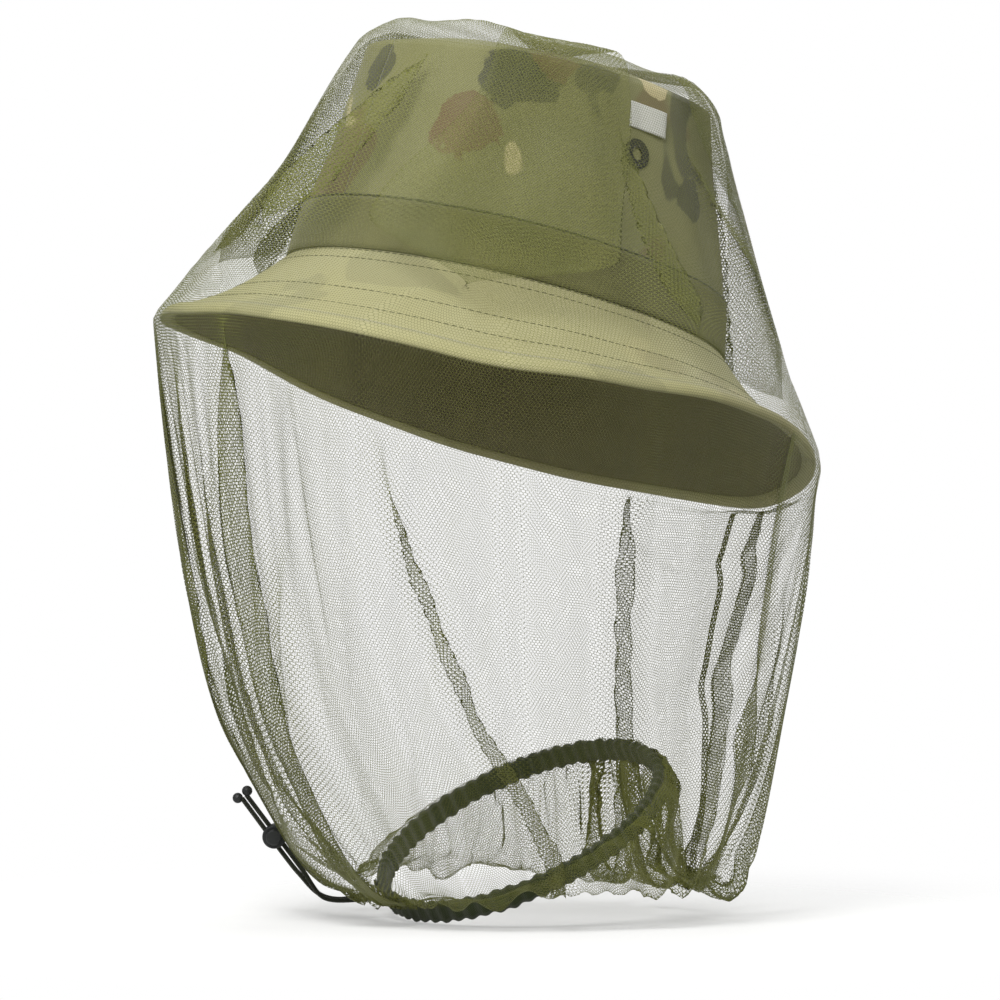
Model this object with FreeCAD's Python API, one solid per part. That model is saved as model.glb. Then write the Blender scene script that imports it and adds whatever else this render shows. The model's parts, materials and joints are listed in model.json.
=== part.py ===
import FreeCAD, Part
import math
import os

# A cloth bucket hat that carries a fine head net, drawn in at the neck by a cord.
# Millimetres. Origin: centre of the head opening. +Z up, -Y the wearer's front, +X the wearer's left.
# The hat is drawn level in its own frame and then tipped back, the way it sits on a head.

Vector = FreeCAD.Vector

# Hat: head opening, crown and brim
HAT_TILT = 15.0            # degrees the hat is tipped back about the X axis
HEAD_A = 80.0              # half width of the head opening (X)
HEAD_B = 98.0              # half length of the head opening (Y)
CROWN_TAPER = 19.0         # how much narrower the crown is at its top edge
CROWN_LEAN = 7.0           # how far the crown's top sits forward of its foot
CROWN_H = 98.0             # height of the crown's side wall
CROWN_DOME = 9.0           # rise of the top panel above the side wall
DOME_SHOULDER_IN = 14.0    # the top panel bends over this far in from its edge ...
DOME_SHOULDER_RISE = 0.6   # ... at this share of its rise
DOME_CREST_IN = 44.0       # and is flat from here inwards
CLOTH = 1.2                # thickness of one hat cloth
GAP = 0.4                  # clearance between neighbouring cloths
BRIM_W = 46.0              # how far the brim reaches out from the head opening
BRIM_DROP = 40.0           # how far its edge hangs below the opening
BRIM_PLY = 1.0             # thickness of one brim ply
BRIM_PLY_GAP = 0.3
BRIM_OVERRUN = 6.0         # the brim is drawn this much too wide, then cut to its outline
CUT_LOW, CUT_HIGH = -80.0, 10.0      # heights between which the brim's outline is cut
BINDING_W = 4.0            # width of the tape folded over the brim's edge
BINDING_H = 8.5            # height of the same tape

# Hat trimmings
SEAM_TAPE_H = 8.0          # tape inside the crown's top seam
SEAM_TAPE_DROP = 1.0       # its upper edge lies this far below the seam
BAND_LOW, BAND_HIGH = 3.0, 21.0      # band stitched round the foot of the crown
SWEAT_LOW, SWEAT_HIGH = 1.0, 30.0    # sweatband inside the head opening
EYELET_H = 63.0            # height of the vent eyelets on the crown
EYELET_R = 6.5             # flange radius
EYELET_HOLE_R = 2.6        # air hole
EYELET_BARREL_R = 3.2      # outside of the barrel
EYELET_BARREL_DEPTH = 3.2  # how far the barrel reaches in through the cloth
EYELET_PLAY = 0.2          # between the barrel and the hole in the cloth
EYELET_FLANGE = 0.6
HOLE_REACH = 6.0           # the hole is cut this far to each side of the cloth
WASHER_T = 0.8
WASHER_PLAY = 0.1
LABEL_W, LABEL_H, LABEL_T = 20.0, 11.0, 0.6
LABEL_Z = 79.0             # height of the label's centre on the crown
LABEL_SHIFT = 6.0          # how far it sits behind the eyelet

# Net
NET = 0.8                  # thickness that stands for the net and its small folds
NET_EASE = 3.5             # how far the net stands off the brim's edge
NET_TOP_EASE = 8.0         # how far it stands off the crown's top edge
NET_CAP_RISE = 13.0        # how far it rises above the crown's top edge
NET_CAP_SHOULDER_IN = 10.0           # the net bends over this far in from its top edge ...
NET_CAP_SHOULDER_RISE = 0.7          # ... at this share of that rise
NET_CAP_CREST_IN = 46.0    # and is flat from here inwards
NET_EDGE_RISE = 5.0        # height of the net above the middle of the brim's edge
NET_TOP_BOWS = 3           # straight lengths between the brim's edge and the crown's top
NET_LIP_OUT, NET_LIP_DROP = 1.5, 12.0    # lip of the upper net, over the brim's edge
NET_SPLIT_DROP = 7.3       # the hanging net starts this far below the brim's edge
NECK_Y = 8.0               # centre of the neck hem
NECK_Z = -219.0
NECK_TILT = -30.0          # the hem rises towards the nape
# ovals of the hanging net: half width, half length, height, centre in Y, tilt
SKIRT = (
    (127.0, 145.0, -82.0, -12.0, 11.0),
    (118.0, 134.0, -123.0, -10.0, 7.0),
    (110.0, 121.0, -160.0, -5.0, 3.0),
    (101.0, 105.0, -195.0, 6.0, 0.0),
    (89.0, 89.0, -225.0, 14.0, 0.0),
    (81.0, 80.0, -240.0, 15.0, 0.0),
)
SEAM_STRIP_W, SEAM_STRIP_T = 8.0, 0.8    # tape over the net's closing seam, at the back
SEAM_STRIP_GAP = 0.3
SEAM_STRIP_LOW = -236.0
SEAM_WINDOW = 300.0        # size of the block that cuts the strip out
SEAM_WINDOW_Y = 20.0       # that block starts behind this

# Neck hem and its drawcord
HEM_IN_R = 60.0            # the neck opening
HEM_OUT_R = 65.0
HEM_H = 9.0
CORD_R = 1.0
CHANNEL_R = 1.5
EXIT_DIR = (-0.66, -0.75)  # plan direction of the cord's exit, at the wearer's front right
EXIT_SPREAD = 5.0          # degrees from the exit's middle to each cord hole
EXIT_RING_R, EXIT_RING_T = 3.0, 0.9
EXIT_RING_GAP = 0.15       # between the ring and the hem
EXIT_STUB = 1.2            # how far the drawcord shows outside the hem
EXIT_HOLE = 6.0            # length of the hole from the cord's channel outwards
COLLAR_GAP = 1.6           # between the hem and the net gathered round it
COLLAR_DROP = 1.0          # the net's upper edge lies this far below the hem's

# Cord tails: distance out from the hem's centre and height, then the straight run that holds the lock
TAIL_BEND = ((74.0, -248.5), (85.0, -246.5))
TAIL_CLOSING = (0.7, 0.35)           # share of the exits' spread left at each of those points
TAIL_LEAD = 4.0            # straight lead into the run
RUN_LOW = (92.0, -237.0)
RUN_HIGH = (115.0, -207.0)
TAIL_START_R = HEM_OUT_R + 2.4
TAIL_HALF_PITCH = 1.15
BEAD_R = 2.2
BEAD_SPREAD = 0.6          # how far each bead stands to its side, as a share of its radius

# Cord lock
LOCK_R = 5.0
LOCK_BORE_R = 3.4
LOCK_ROUND = 0.8           # rounding of its edges
LOCK_BORE_REACH = 20.0
LOCK_BOTTOM, LOCK_FLOOR, LOCK_TOP = -8.5, -7.0, 4.0
BUTTON_R = 3.3
BUTTON_BOTTOM, BUTTON_TOP = -2.6, 7.5
BUTTON_TRAVEL = 2.5
SLOT_PLAY = 0.15
SPRING_R, SPRING_WIRE_R, SPRING_TURNS = 2.3, 0.25, 2.0
SPRING_PLAY = 0.1          # at each end of the spring

OVAL_POINTS = 24
COIL_POINTS = 12           # points per turn of the spring
ORIGIN = Vector(0, 0, 0)
AXIS_X = Vector(1, 0, 0)
AXIS_Y = Vector(0, 1, 0)
AXIS_Z = Vector(0, 0, 1)


def export(name, shape):
    shape.exportStep(os.path.join("parts", name + ".step"))


def oval(half_x, half_y, z, center_y=0.0, tilt=0.0):
    """A closed smooth oval; a positive tilt lifts its front (-Y) side."""
    points = []
    for i in range(OVAL_POINTS):
        turn = 2 * math.pi * i / OVAL_POINTS
        points.append(Vector(half_x * math.cos(turn), half_y * math.sin(turn), 0))
    curve = Part.BSplineCurve()
    curve.interpolate(Points=points, PeriodicFlag=True)
    wire = Part.Wire([curve.toShape()])
    wire.rotate(ORIGIN, AXIS_X, -tilt)
    wire.translate(Vector(0, center_y, z))
    return wire


def loft(wires):
    return Part.makeLoft(wires, True)


def worn(shape):
    """Tips a shape drawn in the level hat frame back to the worn position."""
    copy = shape.copy()
    copy.rotate(ORIGIN, AXIS_X, -HAT_TILT)
    return copy


def worn_wire(half_x, half_y, z):
    wire = oval(half_x, half_y, z)
    wire.rotate(ORIGIN, AXIS_X, -HAT_TILT)
    return wire


def crown_shrink(z):
    """How much narrower the crown's outside is at height z than at the head opening."""
    return CROWN_TAPER * z / CROWN_H


def crown_center(z):
    return -CROWN_LEAN * z / CROWN_H


def crown_oval(z, inset):
    shrink = crown_shrink(z) + inset
    return oval(HEAD_A - shrink, HEAD_B - shrink, z, crown_center(z))


def crown_sleeve(low, high, inset, thickness):
    """A sleeve that follows the crown's wall; inset is measured inwards from the wall's outside."""
    outer = loft([crown_oval(low, inset), crown_oval(high, inset)])
    inner = loft([crown_oval(low, inset + thickness), crown_oval(high, inset + thickness)])
    return outer.cut(inner)


def wall_placement(side, height):
    """Local Z points out of the crown's wall at its widest point; side is +1 left, -1 right."""
    lean = math.degrees(math.atan2(CROWN_TAPER, CROWN_H))
    out = HEAD_A - crown_shrink(height)
    turn = FreeCAD.Rotation(AXIS_Z, 0 if side > 0 else 180)
    lean_over = FreeCAD.Rotation(AXIS_Y, 90 - lean)
    return FreeCAD.Placement(Vector(side * out, crown_center(height), height), turn.multiply(lean_over))


def placed(shape, place):
    copy = shape.copy()
    copy.Placement = place
    return copy


def tube(outer_r, inner_r, low, high):
    tall = high - low
    ring = Part.makeCylinder(outer_r, tall, Vector(0, 0, low))
    return ring.cut(Part.makeCylinder(inner_r, tall, Vector(0, 0, low)))


def make_crown():
    wall = crown_sleeve(GAP, CROWN_H, 0.0, CLOTH)
    for side in (1, -1):
        hole = Part.makeCylinder(EYELET_BARREL_R + EYELET_PLAY, 2 * HOLE_REACH, Vector(0, 0, -HOLE_REACH))
        wall = wall.cut(placed(hole, wall_placement(side, EYELET_H)))
    reach = 2 * HEAD_B
    for name, low_x in (("crown_side_panel_left", GAP / 2), ("crown_side_panel_right", -reach - GAP / 2)):
        half = Part.makeBox(reach, 2 * reach, reach, Vector(low_x, -reach, 0))
        export(name, worn(wall.common(half)))

    edge = CROWN_H + GAP
    rim = crown_oval(edge, 0.0)
    shoulder = crown_oval(edge + CROWN_DOME * DOME_SHOULDER_RISE, DOME_SHOULDER_IN)
    crest = crown_oval(edge + CROWN_DOME, DOME_CREST_IN)
    cap = loft([rim, shoulder, crest])
    under = cap.copy()
    under.translate(Vector(0, 0, -CLOTH))
    export("crown_top_panel", worn(cap.cut(under)))

    tape_inset = CLOTH + GAP
    seam_tape = crown_sleeve(CROWN_H - SEAM_TAPE_H, CROWN_H - SEAM_TAPE_DROP, tape_inset, CLOTH)
    export("crown_seam_tape", worn(seam_tape))
    export("crown_band", worn(crown_sleeve(BAND_LOW, BAND_HIGH, -GAP - CLOTH, CLOTH)))
    export("sweatband", worn(crown_sleeve(SWEAT_LOW, SWEAT_HIGH, tape_inset, CLOTH)))


def brim_cutter(reach):
    """An upright plug whose outline lies at the given distance outside the head opening."""
    return loft([oval(HEAD_A + reach, HEAD_B + reach, z) for z in (CUT_LOW, CUT_HIGH)])


def brim_slab(top_drop, thickness, reach):
    """One ring of the brim: top_drop below its upper surface, cut off at the given reach."""
    slope = BRIM_DROP / BRIM_W
    wide = BRIM_W + BRIM_OVERRUN
    inner = oval(HEAD_A, HEAD_B, -top_drop)
    outer = oval(HEAD_A + wide, HEAD_B + wide, -top_drop - slope * wide)
    body = loft([inner, outer])
    under = body.copy()
    under.translate(Vector(0, 0, -thickness))
    ring = body.cut(under)
    return ring.cut(brim_cutter(GAP)).common(brim_cutter(reach))


def make_brim():
    step = BRIM_PLY + BRIM_PLY_GAP
    for i, name in enumerate(("brim_upper_ply", "brim_interlining", "brim_lower_ply")):
        export(name, worn(brim_slab(i * step, BRIM_PLY, BRIM_W)))

    stack = 2 * step + BRIM_PLY
    slot = brim_slab(-GAP, stack + 2 * GAP, BRIM_W + GAP)
    outside = BRIM_W + BINDING_W / 2
    inside = BRIM_W - BINDING_W / 2
    middle = -BRIM_DROP - stack / 2
    ring = loft([
        oval(HEAD_A + outside, HEAD_B + outside, middle - BINDING_H / 2),
        oval(HEAD_A + outside, HEAD_B + outside, middle + BINDING_H / 2),
    ])
    core = loft([
        oval(HEAD_A + inside, HEAD_B + inside, middle - BINDING_H),
        oval(HEAD_A + inside, HEAD_B + inside, middle + BINDING_H),
    ])
    export("brim_edge_binding", worn(ring.cut(core).cut(slot)))


def make_trimmings():
    eyelets = []
    washers = []
    for side in (1, -1):
        place = wall_placement(side, EYELET_H)
        flange = tube(EYELET_R, EYELET_HOLE_R, GAP, GAP + EYELET_FLANGE)
        barrel = tube(EYELET_BARREL_R, EYELET_HOLE_R, -EYELET_BARREL_DEPTH, GAP)
        eyelets.append(worn(placed(flange.fuse(barrel).removeSplitter(), place)))
        washer_top = -CLOTH - GAP
        washer = tube(EYELET_R, EYELET_BARREL_R + WASHER_PLAY, washer_top - WASHER_T, washer_top)
        washers.append(worn(placed(washer, place)))
    export("vent_eyelets", Part.makeCompound(eyelets))
    export("vent_washers", Part.makeCompound(washers))

    corner = Vector(-LABEL_H / 2, LABEL_SHIFT - LABEL_W / 2, GAP)
    label = Part.makeBox(LABEL_H, LABEL_W, LABEL_T, corner)
    export("blank_label", worn(placed(label, wall_placement(1, LABEL_Z))))


def net_top_wires(inset):
    edge_a = HEAD_A + BRIM_W + NET_EASE - inset
    edge_b = HEAD_B + BRIM_W + NET_EASE - inset
    top_a = HEAD_A - CROWN_TAPER + NET_TOP_EASE - inset
    top_b = HEAD_B - CROWN_TAPER + NET_TOP_EASE - inset
    edge_z = NET_EDGE_RISE - BRIM_DROP
    wires = [oval(edge_a + NET_LIP_OUT, edge_b + NET_LIP_OUT, edge_z - NET_LIP_DROP)]
    for i in range(NET_TOP_BOWS + 1):
        share = i / NET_TOP_BOWS
        half_x = edge_a + (top_a - edge_a) * share
        half_y = edge_b + (top_b - edge_b) * share
        wires.append(oval(half_x, half_y, edge_z + (CROWN_H - edge_z) * share, -CROWN_LEAN * share))
    return wires


def net_cap_wires(inset):
    top_a = HEAD_A - CROWN_TAPER + NET_TOP_EASE - inset
    top_b = HEAD_B - CROWN_TAPER + NET_TOP_EASE - inset
    wires = [oval(top_a, top_b, CROWN_H, -CROWN_LEAN)]
    for inwards, rise in ((NET_CAP_SHOULDER_IN, NET_CAP_SHOULDER_RISE), (NET_CAP_CREST_IN, 1.0)):
        height = CROWN_H + NET_CAP_RISE * rise - inset
        wires.append(oval(top_a - inwards, top_b - inwards, height, -CROWN_LEAN))
    return wires


def make_net_top():
    outer = loft(net_top_wires(0.0)).fuse(loft(net_cap_wires(0.0)))
    inner = loft(net_top_wires(NET)).fuse(loft(net_cap_wires(NET)))
    export("veil_top_net", worn(outer.cut(inner)))


def skirt_wires(inset):
    edge_a = HEAD_A + BRIM_W + NET_EASE + NET_LIP_OUT - inset
    edge_b = HEAD_B + BRIM_W + NET_EASE + NET_LIP_OUT - inset
    wires = [worn_wire(edge_a, edge_b, -BRIM_DROP - NET_SPLIT_DROP)]
    for half_x, half_y, z, center_y, tilt in SKIRT:
        wires.append(oval(half_x - inset, half_y - inset, z, center_y, tilt))
    return wires


def make_net_skirt():
    export("veil_skirt_net", loft(skirt_wires(0.0)).cut(loft(skirt_wires(NET))))

    outside = skirt_wires(-SEAM_STRIP_GAP - SEAM_STRIP_T)
    inside = skirt_wires(-SEAM_STRIP_GAP)
    strip = loft(outside).cut(loft(inside))
    corner = Vector(-SEAM_STRIP_W / 2, SEAM_WINDOW_Y, SEAM_STRIP_LOW)
    window = Part.makeBox(SEAM_STRIP_W, SEAM_WINDOW, SEAM_WINDOW, corner)
    export("veil_back_seam_tape", strip.common(window))


def neck_placement():
    return FreeCAD.Placement(Vector(0, NECK_Y, NECK_Z), FreeCAD.Rotation(AXIS_X, -NECK_TILT))


def exit_angle():
    """Angle, in the hem's own plane, whose plan direction is the cord's exit direction."""
    flat = math.cos(math.radians(NECK_TILT))
    return math.degrees(math.atan2(EXIT_DIR[1] / flat, EXIT_DIR[0]))


def exit_placement(offset):
    """Local Z points out of the hem at the given number of degrees from the exit's middle."""
    turn = FreeCAD.Rotation(AXIS_Z, exit_angle() + offset)
    outwards = FreeCAD.Rotation(AXIS_Y, 90)
    return neck_placement().multiply(FreeCAD.Placement(ORIGIN, turn.multiply(outwards)))


def make_hem():
    half = HEM_H / 2
    casing = tube(HEM_OUT_R, HEM_IN_R, -half, half)
    channel_mid = (HEM_OUT_R + HEM_IN_R) / 2
    casing = placed(casing.cut(Part.makeTorus(channel_mid, CHANNEL_R)), neck_placement())
    cord = placed(Part.makeTorus(channel_mid, CORD_R), neck_placement())
    rings = []
    ring_low = HEM_OUT_R + EXIT_RING_GAP
    for offset in (-EXIT_SPREAD, EXIT_SPREAD):
        place = exit_placement(offset)
        hole = Part.makeCylinder(CHANNEL_R, EXIT_HOLE, Vector(0, 0, channel_mid))
        casing = casing.cut(placed(hole, place))
        stub = Part.makeCylinder(CORD_R, HEM_OUT_R + EXIT_STUB - channel_mid, Vector(0, 0, channel_mid))
        cord = cord.fuse(placed(stub, place))
        rings.append(placed(tube(EXIT_RING_R, CHANNEL_R, ring_low, ring_low + EXIT_RING_T), place))
    export("hem_casing", casing)
    export("hem_drawcord", cord)
    export("cord_exit_eyelets", Part.makeCompound(rings))

    half_x, half_y, z, center_y, tilt = SKIRT[-1]
    foot = oval(half_x - NET, half_y - NET, z - 2 * GAP, center_y, tilt)
    collar_r = HEM_OUT_R + COLLAR_GAP
    collar = oval(collar_r, collar_r, half - COLLAR_DROP)
    collar.Placement = neck_placement().multiply(collar.Placement)
    sheet = Part.makeLoft([foot, collar], False)
    export("veil_neck_gather", sheet.extrude(Vector(0, 0, -NET)))


def exit_frame():
    """Horizontal unit vectors at the cord's exit: outwards, and along the hem towards the front."""
    out = Vector(EXIT_DIR[0], EXIT_DIR[1], 0).normalize()
    return out, AXIS_Z.cross(out)


def tail_point(distance, height, sideways=0.0):
    out, along = exit_frame()
    return Vector(0, NECK_Y, height) + out * distance + along * sideways


def run_frame():
    """Ends of the cords' straight run, its direction, and the directions towards and along the net."""
    low = tail_point(*RUN_LOW)
    high = tail_point(*RUN_HIGH)
    direction = (high - low).normalize()
    along = exit_frame()[1]
    return low, high, direction, direction.cross(along), along


def swept_rod(path, curve, radius):
    """A round rod along a path whose first piece is the given curve."""
    start = curve.value(curve.FirstParameter)
    heading = curve.tangent(curve.FirstParameter)[0]
    profile = Part.Wire([Part.makeCircle(radius, start, heading)])
    return path.makePipeShell([profile], True, True)


def make_tails():
    low, high, direction, inward, along = run_frame()
    tails = []
    beads = []
    for side in (1, -1):
        start = exit_placement(side * EXIT_SPREAD).multVec(Vector(0, 0, TAIL_START_R))
        shift = inward * (side * TAIL_HALF_PITCH)
        points = [start]
        for share, (distance, height) in zip(TAIL_CLOSING, TAIL_BEND):
            sideways = (start - tail_point(0, 0)).dot(along) * share
            points.append(tail_point(distance, height, sideways))
        points.append(low + shift)
        points.append(low + direction * TAIL_LEAD + shift)
        curve = Part.BSplineCurve()
        curve.interpolate(Points=points)
        end = high + shift
        path = Part.Wire([curve.toShape(), Part.makeLine(points[-1], end)])
        tails.append(swept_rod(path, curve, CORD_R))
        centre = end + direction * (CORD_R + BEAD_R) + inward * (side * BEAD_R * BEAD_SPREAD)
        beads.append(Part.makeSphere(BEAD_R, centre))
    export("cord_tails", Part.makeCompound(tails))
    export("cord_end_beads", Part.makeCompound(beads))


def lock_placement():
    """Local Z runs up the button's axis, local Y along the cords, local X towards the net."""
    low, high, direction, inward, along = run_frame()
    centre = (low + high) * 0.5
    matrix = FreeCAD.Matrix(
        inward.x, direction.x, along.x, centre.x,
        inward.y, direction.y, along.y, centre.y,
        inward.z, direction.z, along.z, centre.z,
        0, 0, 0, 1,
    )
    return FreeCAD.Placement(matrix)


def cord_slot(bottom, top):
    width = 2 * (TAIL_HALF_PITCH + CORD_R + SLOT_PLAY)
    return Part.makeBox(width, 4 * LOCK_R, top - bottom, Vector(-width / 2, -2 * LOCK_R, bottom))


def make_lock():
    place = lock_placement()
    body = Part.makeCylinder(LOCK_R, LOCK_TOP - LOCK_BOTTOM, Vector(0, 0, LOCK_BOTTOM))
    edges = [e for e in body.Edges if e.Closed]
    body = body.makeFillet(LOCK_ROUND, edges)
    body = body.cut(Part.makeCylinder(LOCK_BORE_R, LOCK_BORE_REACH, Vector(0, 0, LOCK_FLOOR)))
    opening = CORD_R + SLOT_PLAY
    export("cord_lock_body", placed(body.cut(cord_slot(-opening, opening)), place))

    button = Part.makeCylinder(BUTTON_R, BUTTON_TOP - BUTTON_BOTTOM, Vector(0, 0, BUTTON_BOTTOM))
    top_edges = [e for e in button.Edges if e.Closed and e.CenterOfMass.z > BUTTON_TOP - 0.1]
    button = button.makeFillet(LOCK_ROUND, top_edges)
    slot = cord_slot(-opening, opening + BUTTON_TRAVEL)
    export("cord_lock_button", placed(button.cut(slot), place))

    rise = BUTTON_BOTTOM - LOCK_FLOOR - 2 * (SPRING_WIRE_R + SPRING_PLAY)
    foot = LOCK_FLOOR + SPRING_WIRE_R + SPRING_PLAY
    steps = int(SPRING_TURNS * COIL_POINTS)
    points = []
    for i in range(steps + 1):
        turn = 2 * math.pi * i / COIL_POINTS
        height = foot + rise * i / steps
        points.append(Vector(SPRING_R * math.cos(turn), SPRING_R * math.sin(turn), height))
    coil = Part.BSplineCurve()
    coil.interpolate(Points=points)
    spring = swept_rod(Part.Wire([coil.toShape()]), coil, SPRING_WIRE_R)
    export("cord_lock_spring", placed(spring, place))


def main():
    os.makedirs("parts", exist_ok=True)
    make_crown()
    make_brim()
    make_trimmings()
    make_net_top()
    make_net_skirt()
    make_hem()
    make_tails()
    make_lock()


main()
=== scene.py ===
"""A cloth bucket hat with a fine head net that hangs from its brim and is gathered at the neck.

Everything is in metres in the row frame: +Z up, -Y the wearer's front, +X the wearer's left.
The hat's pieces are drawn level, in the hat's own frame, and then tipped back as it is worn.
"""
import json
import math

import bpy
import numpy as np
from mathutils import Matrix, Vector


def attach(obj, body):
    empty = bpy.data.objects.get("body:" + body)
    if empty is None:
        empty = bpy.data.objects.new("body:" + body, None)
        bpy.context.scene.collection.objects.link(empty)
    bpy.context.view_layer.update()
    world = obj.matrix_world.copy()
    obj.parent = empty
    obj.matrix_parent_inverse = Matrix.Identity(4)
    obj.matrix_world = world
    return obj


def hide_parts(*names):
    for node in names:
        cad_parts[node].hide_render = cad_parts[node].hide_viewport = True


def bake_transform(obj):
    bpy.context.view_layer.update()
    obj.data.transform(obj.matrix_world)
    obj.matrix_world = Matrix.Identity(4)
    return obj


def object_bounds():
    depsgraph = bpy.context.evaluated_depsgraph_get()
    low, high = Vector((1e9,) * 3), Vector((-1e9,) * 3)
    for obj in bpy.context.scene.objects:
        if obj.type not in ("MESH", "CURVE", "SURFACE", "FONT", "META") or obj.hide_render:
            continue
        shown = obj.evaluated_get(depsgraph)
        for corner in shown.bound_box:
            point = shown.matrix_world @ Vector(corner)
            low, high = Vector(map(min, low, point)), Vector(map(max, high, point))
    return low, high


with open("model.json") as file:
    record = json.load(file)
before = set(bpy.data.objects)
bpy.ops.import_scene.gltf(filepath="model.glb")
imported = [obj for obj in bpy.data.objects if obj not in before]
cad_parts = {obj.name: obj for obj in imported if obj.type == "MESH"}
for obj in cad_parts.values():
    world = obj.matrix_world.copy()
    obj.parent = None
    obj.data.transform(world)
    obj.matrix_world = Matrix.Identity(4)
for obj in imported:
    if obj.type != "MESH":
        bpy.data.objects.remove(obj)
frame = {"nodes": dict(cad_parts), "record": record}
CAD_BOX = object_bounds()

MM = 0.001
TWO_PI = 2 * math.pi


# ---------------------------------------------------------------- sizes read from the frame

def mount(name):
    """One of the record's mounts."""
    return next(m for m in frame["record"]["mounts"] if m["name"] == name)


HEAD_AXIS = mount("head_opening")["axis"]
TILT = math.atan2(HEAD_AXIS[1], -HEAD_AXIS[2])


def worn(points):
    """Level hat frame to the worn position: tips the front up about the X axis."""
    p = np.asarray(points, float)
    y = p[..., 1] * math.cos(TILT) + p[..., 2] * math.sin(TILT)
    z = -p[..., 1] * math.sin(TILT) + p[..., 2] * math.cos(TILT)
    return np.stack([p[..., 0], y, z], axis=-1)


def level(points):
    """Worn position back to the level hat frame."""
    p = np.asarray(points, float)
    y = p[..., 1] * math.cos(TILT) - p[..., 2] * math.sin(TILT)
    z = p[..., 1] * math.sin(TILT) + p[..., 2] * math.cos(TILT)
    return np.stack([p[..., 0], y, z], axis=-1)


def node_points(name):
    """Every vertex of a CAD node."""
    return np.array([v.co for v in frame["nodes"][name].data.vertices], float)


def level_box(name):
    """Lowest and highest corner of a CAD node in the level hat frame."""
    p = level(node_points(name))
    return p.min(0), p.max(0)


SIDE_LOW, SIDE_HIGH = level_box("crown_side_panel_left")
TOP_LOW, TOP_HIGH = level_box("crown_top_panel")
BRIM_LOW = level_box("brim_upper_ply")[0]
BINDING_LOW, BINDING_HIGH = level_box("brim_edge_binding")
BAND_LOW, BAND_HIGH = level_box("crown_band")
SWEAT_LOW, SWEAT_HIGH = level_box("sweatband")
LABEL_LOW, LABEL_HIGH = level_box("blank_label")

HEAD_A = SIDE_HIGH[0]                       # half width of the head opening
HEAD_B = (SIDE_HIGH[1] - SIDE_LOW[1]) / 2   # half length
CROWN_H = SIDE_HIGH[2]                      # height of the side wall
TOP_A = TOP_HIGH[0]                         # half width at the crown's top edge
TOP_B = (TOP_HIGH[1] - TOP_LOW[1]) / 2
LEAN = (TOP_HIGH[1] + TOP_LOW[1]) / 2       # the top's centre, in front of the opening's
DOME = TOP_HIGH[2] - CROWN_H
BRIM_A = BINDING_HIGH[0]                    # half width of the brim, with its binding
BRIM_B = (BINDING_HIGH[1] - BINDING_LOW[1]) / 2
BRIM_DROP = -BRIM_LOW[2]                    # how far its edge hangs below the opening
NECK = mount("neck_opening")
NECK_CENTER = np.array(NECK["pos_m"])
NECK_DOWN = np.array(NECK["axis"]) / np.linalg.norm(NECK["axis"])
NECK_R = NECK["dims"]["r_mm"] * MM
HEM_H = NECK["dims"]["length_mm"] * MM
HEM_REACH = np.linalg.norm(node_points("hem_casing") - NECK_CENTER, axis=1).max()
HEM_OUT = math.sqrt(HEM_REACH**2 - (HEM_H / 2)**2)   # outer radius of the hem's casing
FLOOR_Z = CAD_BOX[0][2]

# ---------------------------------------------------------------- looks that the frame doesn't hold

CLOTH = 0.9 * MM
CROWN_FOOT = -1.8 * MM       # the wall and its band reach down to the brim's cloth
# Gentle wave of the brim's edge: degrees round the brim (0 = wearer's left, 90 = back), lift in mm
BRIM_WAVE = ((-163, 12), (-130, 7), (-89, 2), (-63, 0), (-39, -3), (-12, 3), (5, 8), (22, 10), (50, 5),
             (85, -5), (108, -3), (140, 0), (168, 5))
CROWN_SLUMP = 0.085          # how much the soft crown has sunk at the front, as a share of its height
NET_COLS = 500
NET_TOP_ROWS = 66
SIM_COLS = 320
BACK_TAPE_W = 3.0 * MM
SEAM_GATHER = 3.0            # the seam's folded net is this much denser
SIM_ROWS = 62
DRAPE_FRAMES = 45
# Ovals of the hanging net: half width, half length, height, centre in Y (all mm)
SKIRT_OVALS = (
    (127, 143, -84, -14),
    (118, 134, -123, -10),
    (110, 121, -160, -5),
    (101, 105, -195, 6),
    (90, 90, -224, 13),
    (80, 79, -240, 14),
)


# ---------------------------------------------------------------- small tools

def smoothstep(low, high, x):
    t = np.clip((np.asarray(x, float) - low) / (high - low), 0, 1)
    return t * t * (3 - 2 * t)


def turns(count):
    """This many angles, evenly round a circle."""
    return np.arange(count) * TWO_PI / count


def curve(t, start, end, start_slope, end_slope):
    """Point at share t of a smooth curve with the given ends and end slopes."""
    return ((2 * t**3 - 3 * t**2 + 1) * start + (t**3 - 2 * t**2 + t) * start_slope
            + (-2 * t**3 + 3 * t**2) * end + (t**3 - t**2) * end_slope)


def periodic(points, angles_deg):
    """Smooth closed curve through (degrees, value) points, evaluated at the given degrees."""
    xs = np.array([p[0] for p in points], float)
    ys = np.array([p[1] for p in points], float)
    order = np.argsort(xs)
    xs, ys = xs[order], ys[order]
    xs = np.concatenate([xs - 360, xs, xs + 360])
    ys = np.concatenate([ys, ys, ys])
    slopes = np.gradient(ys, xs)
    a = (np.asarray(angles_deg, float) + 180) % 360 - 180
    i = np.clip(np.searchsorted(xs, a) - 1, 0, len(xs) - 2)
    h = xs[i + 1] - xs[i]
    return curve((a - xs[i]) / h, ys[i], ys[i + 1], h * slopes[i], h * slopes[i + 1])


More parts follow.
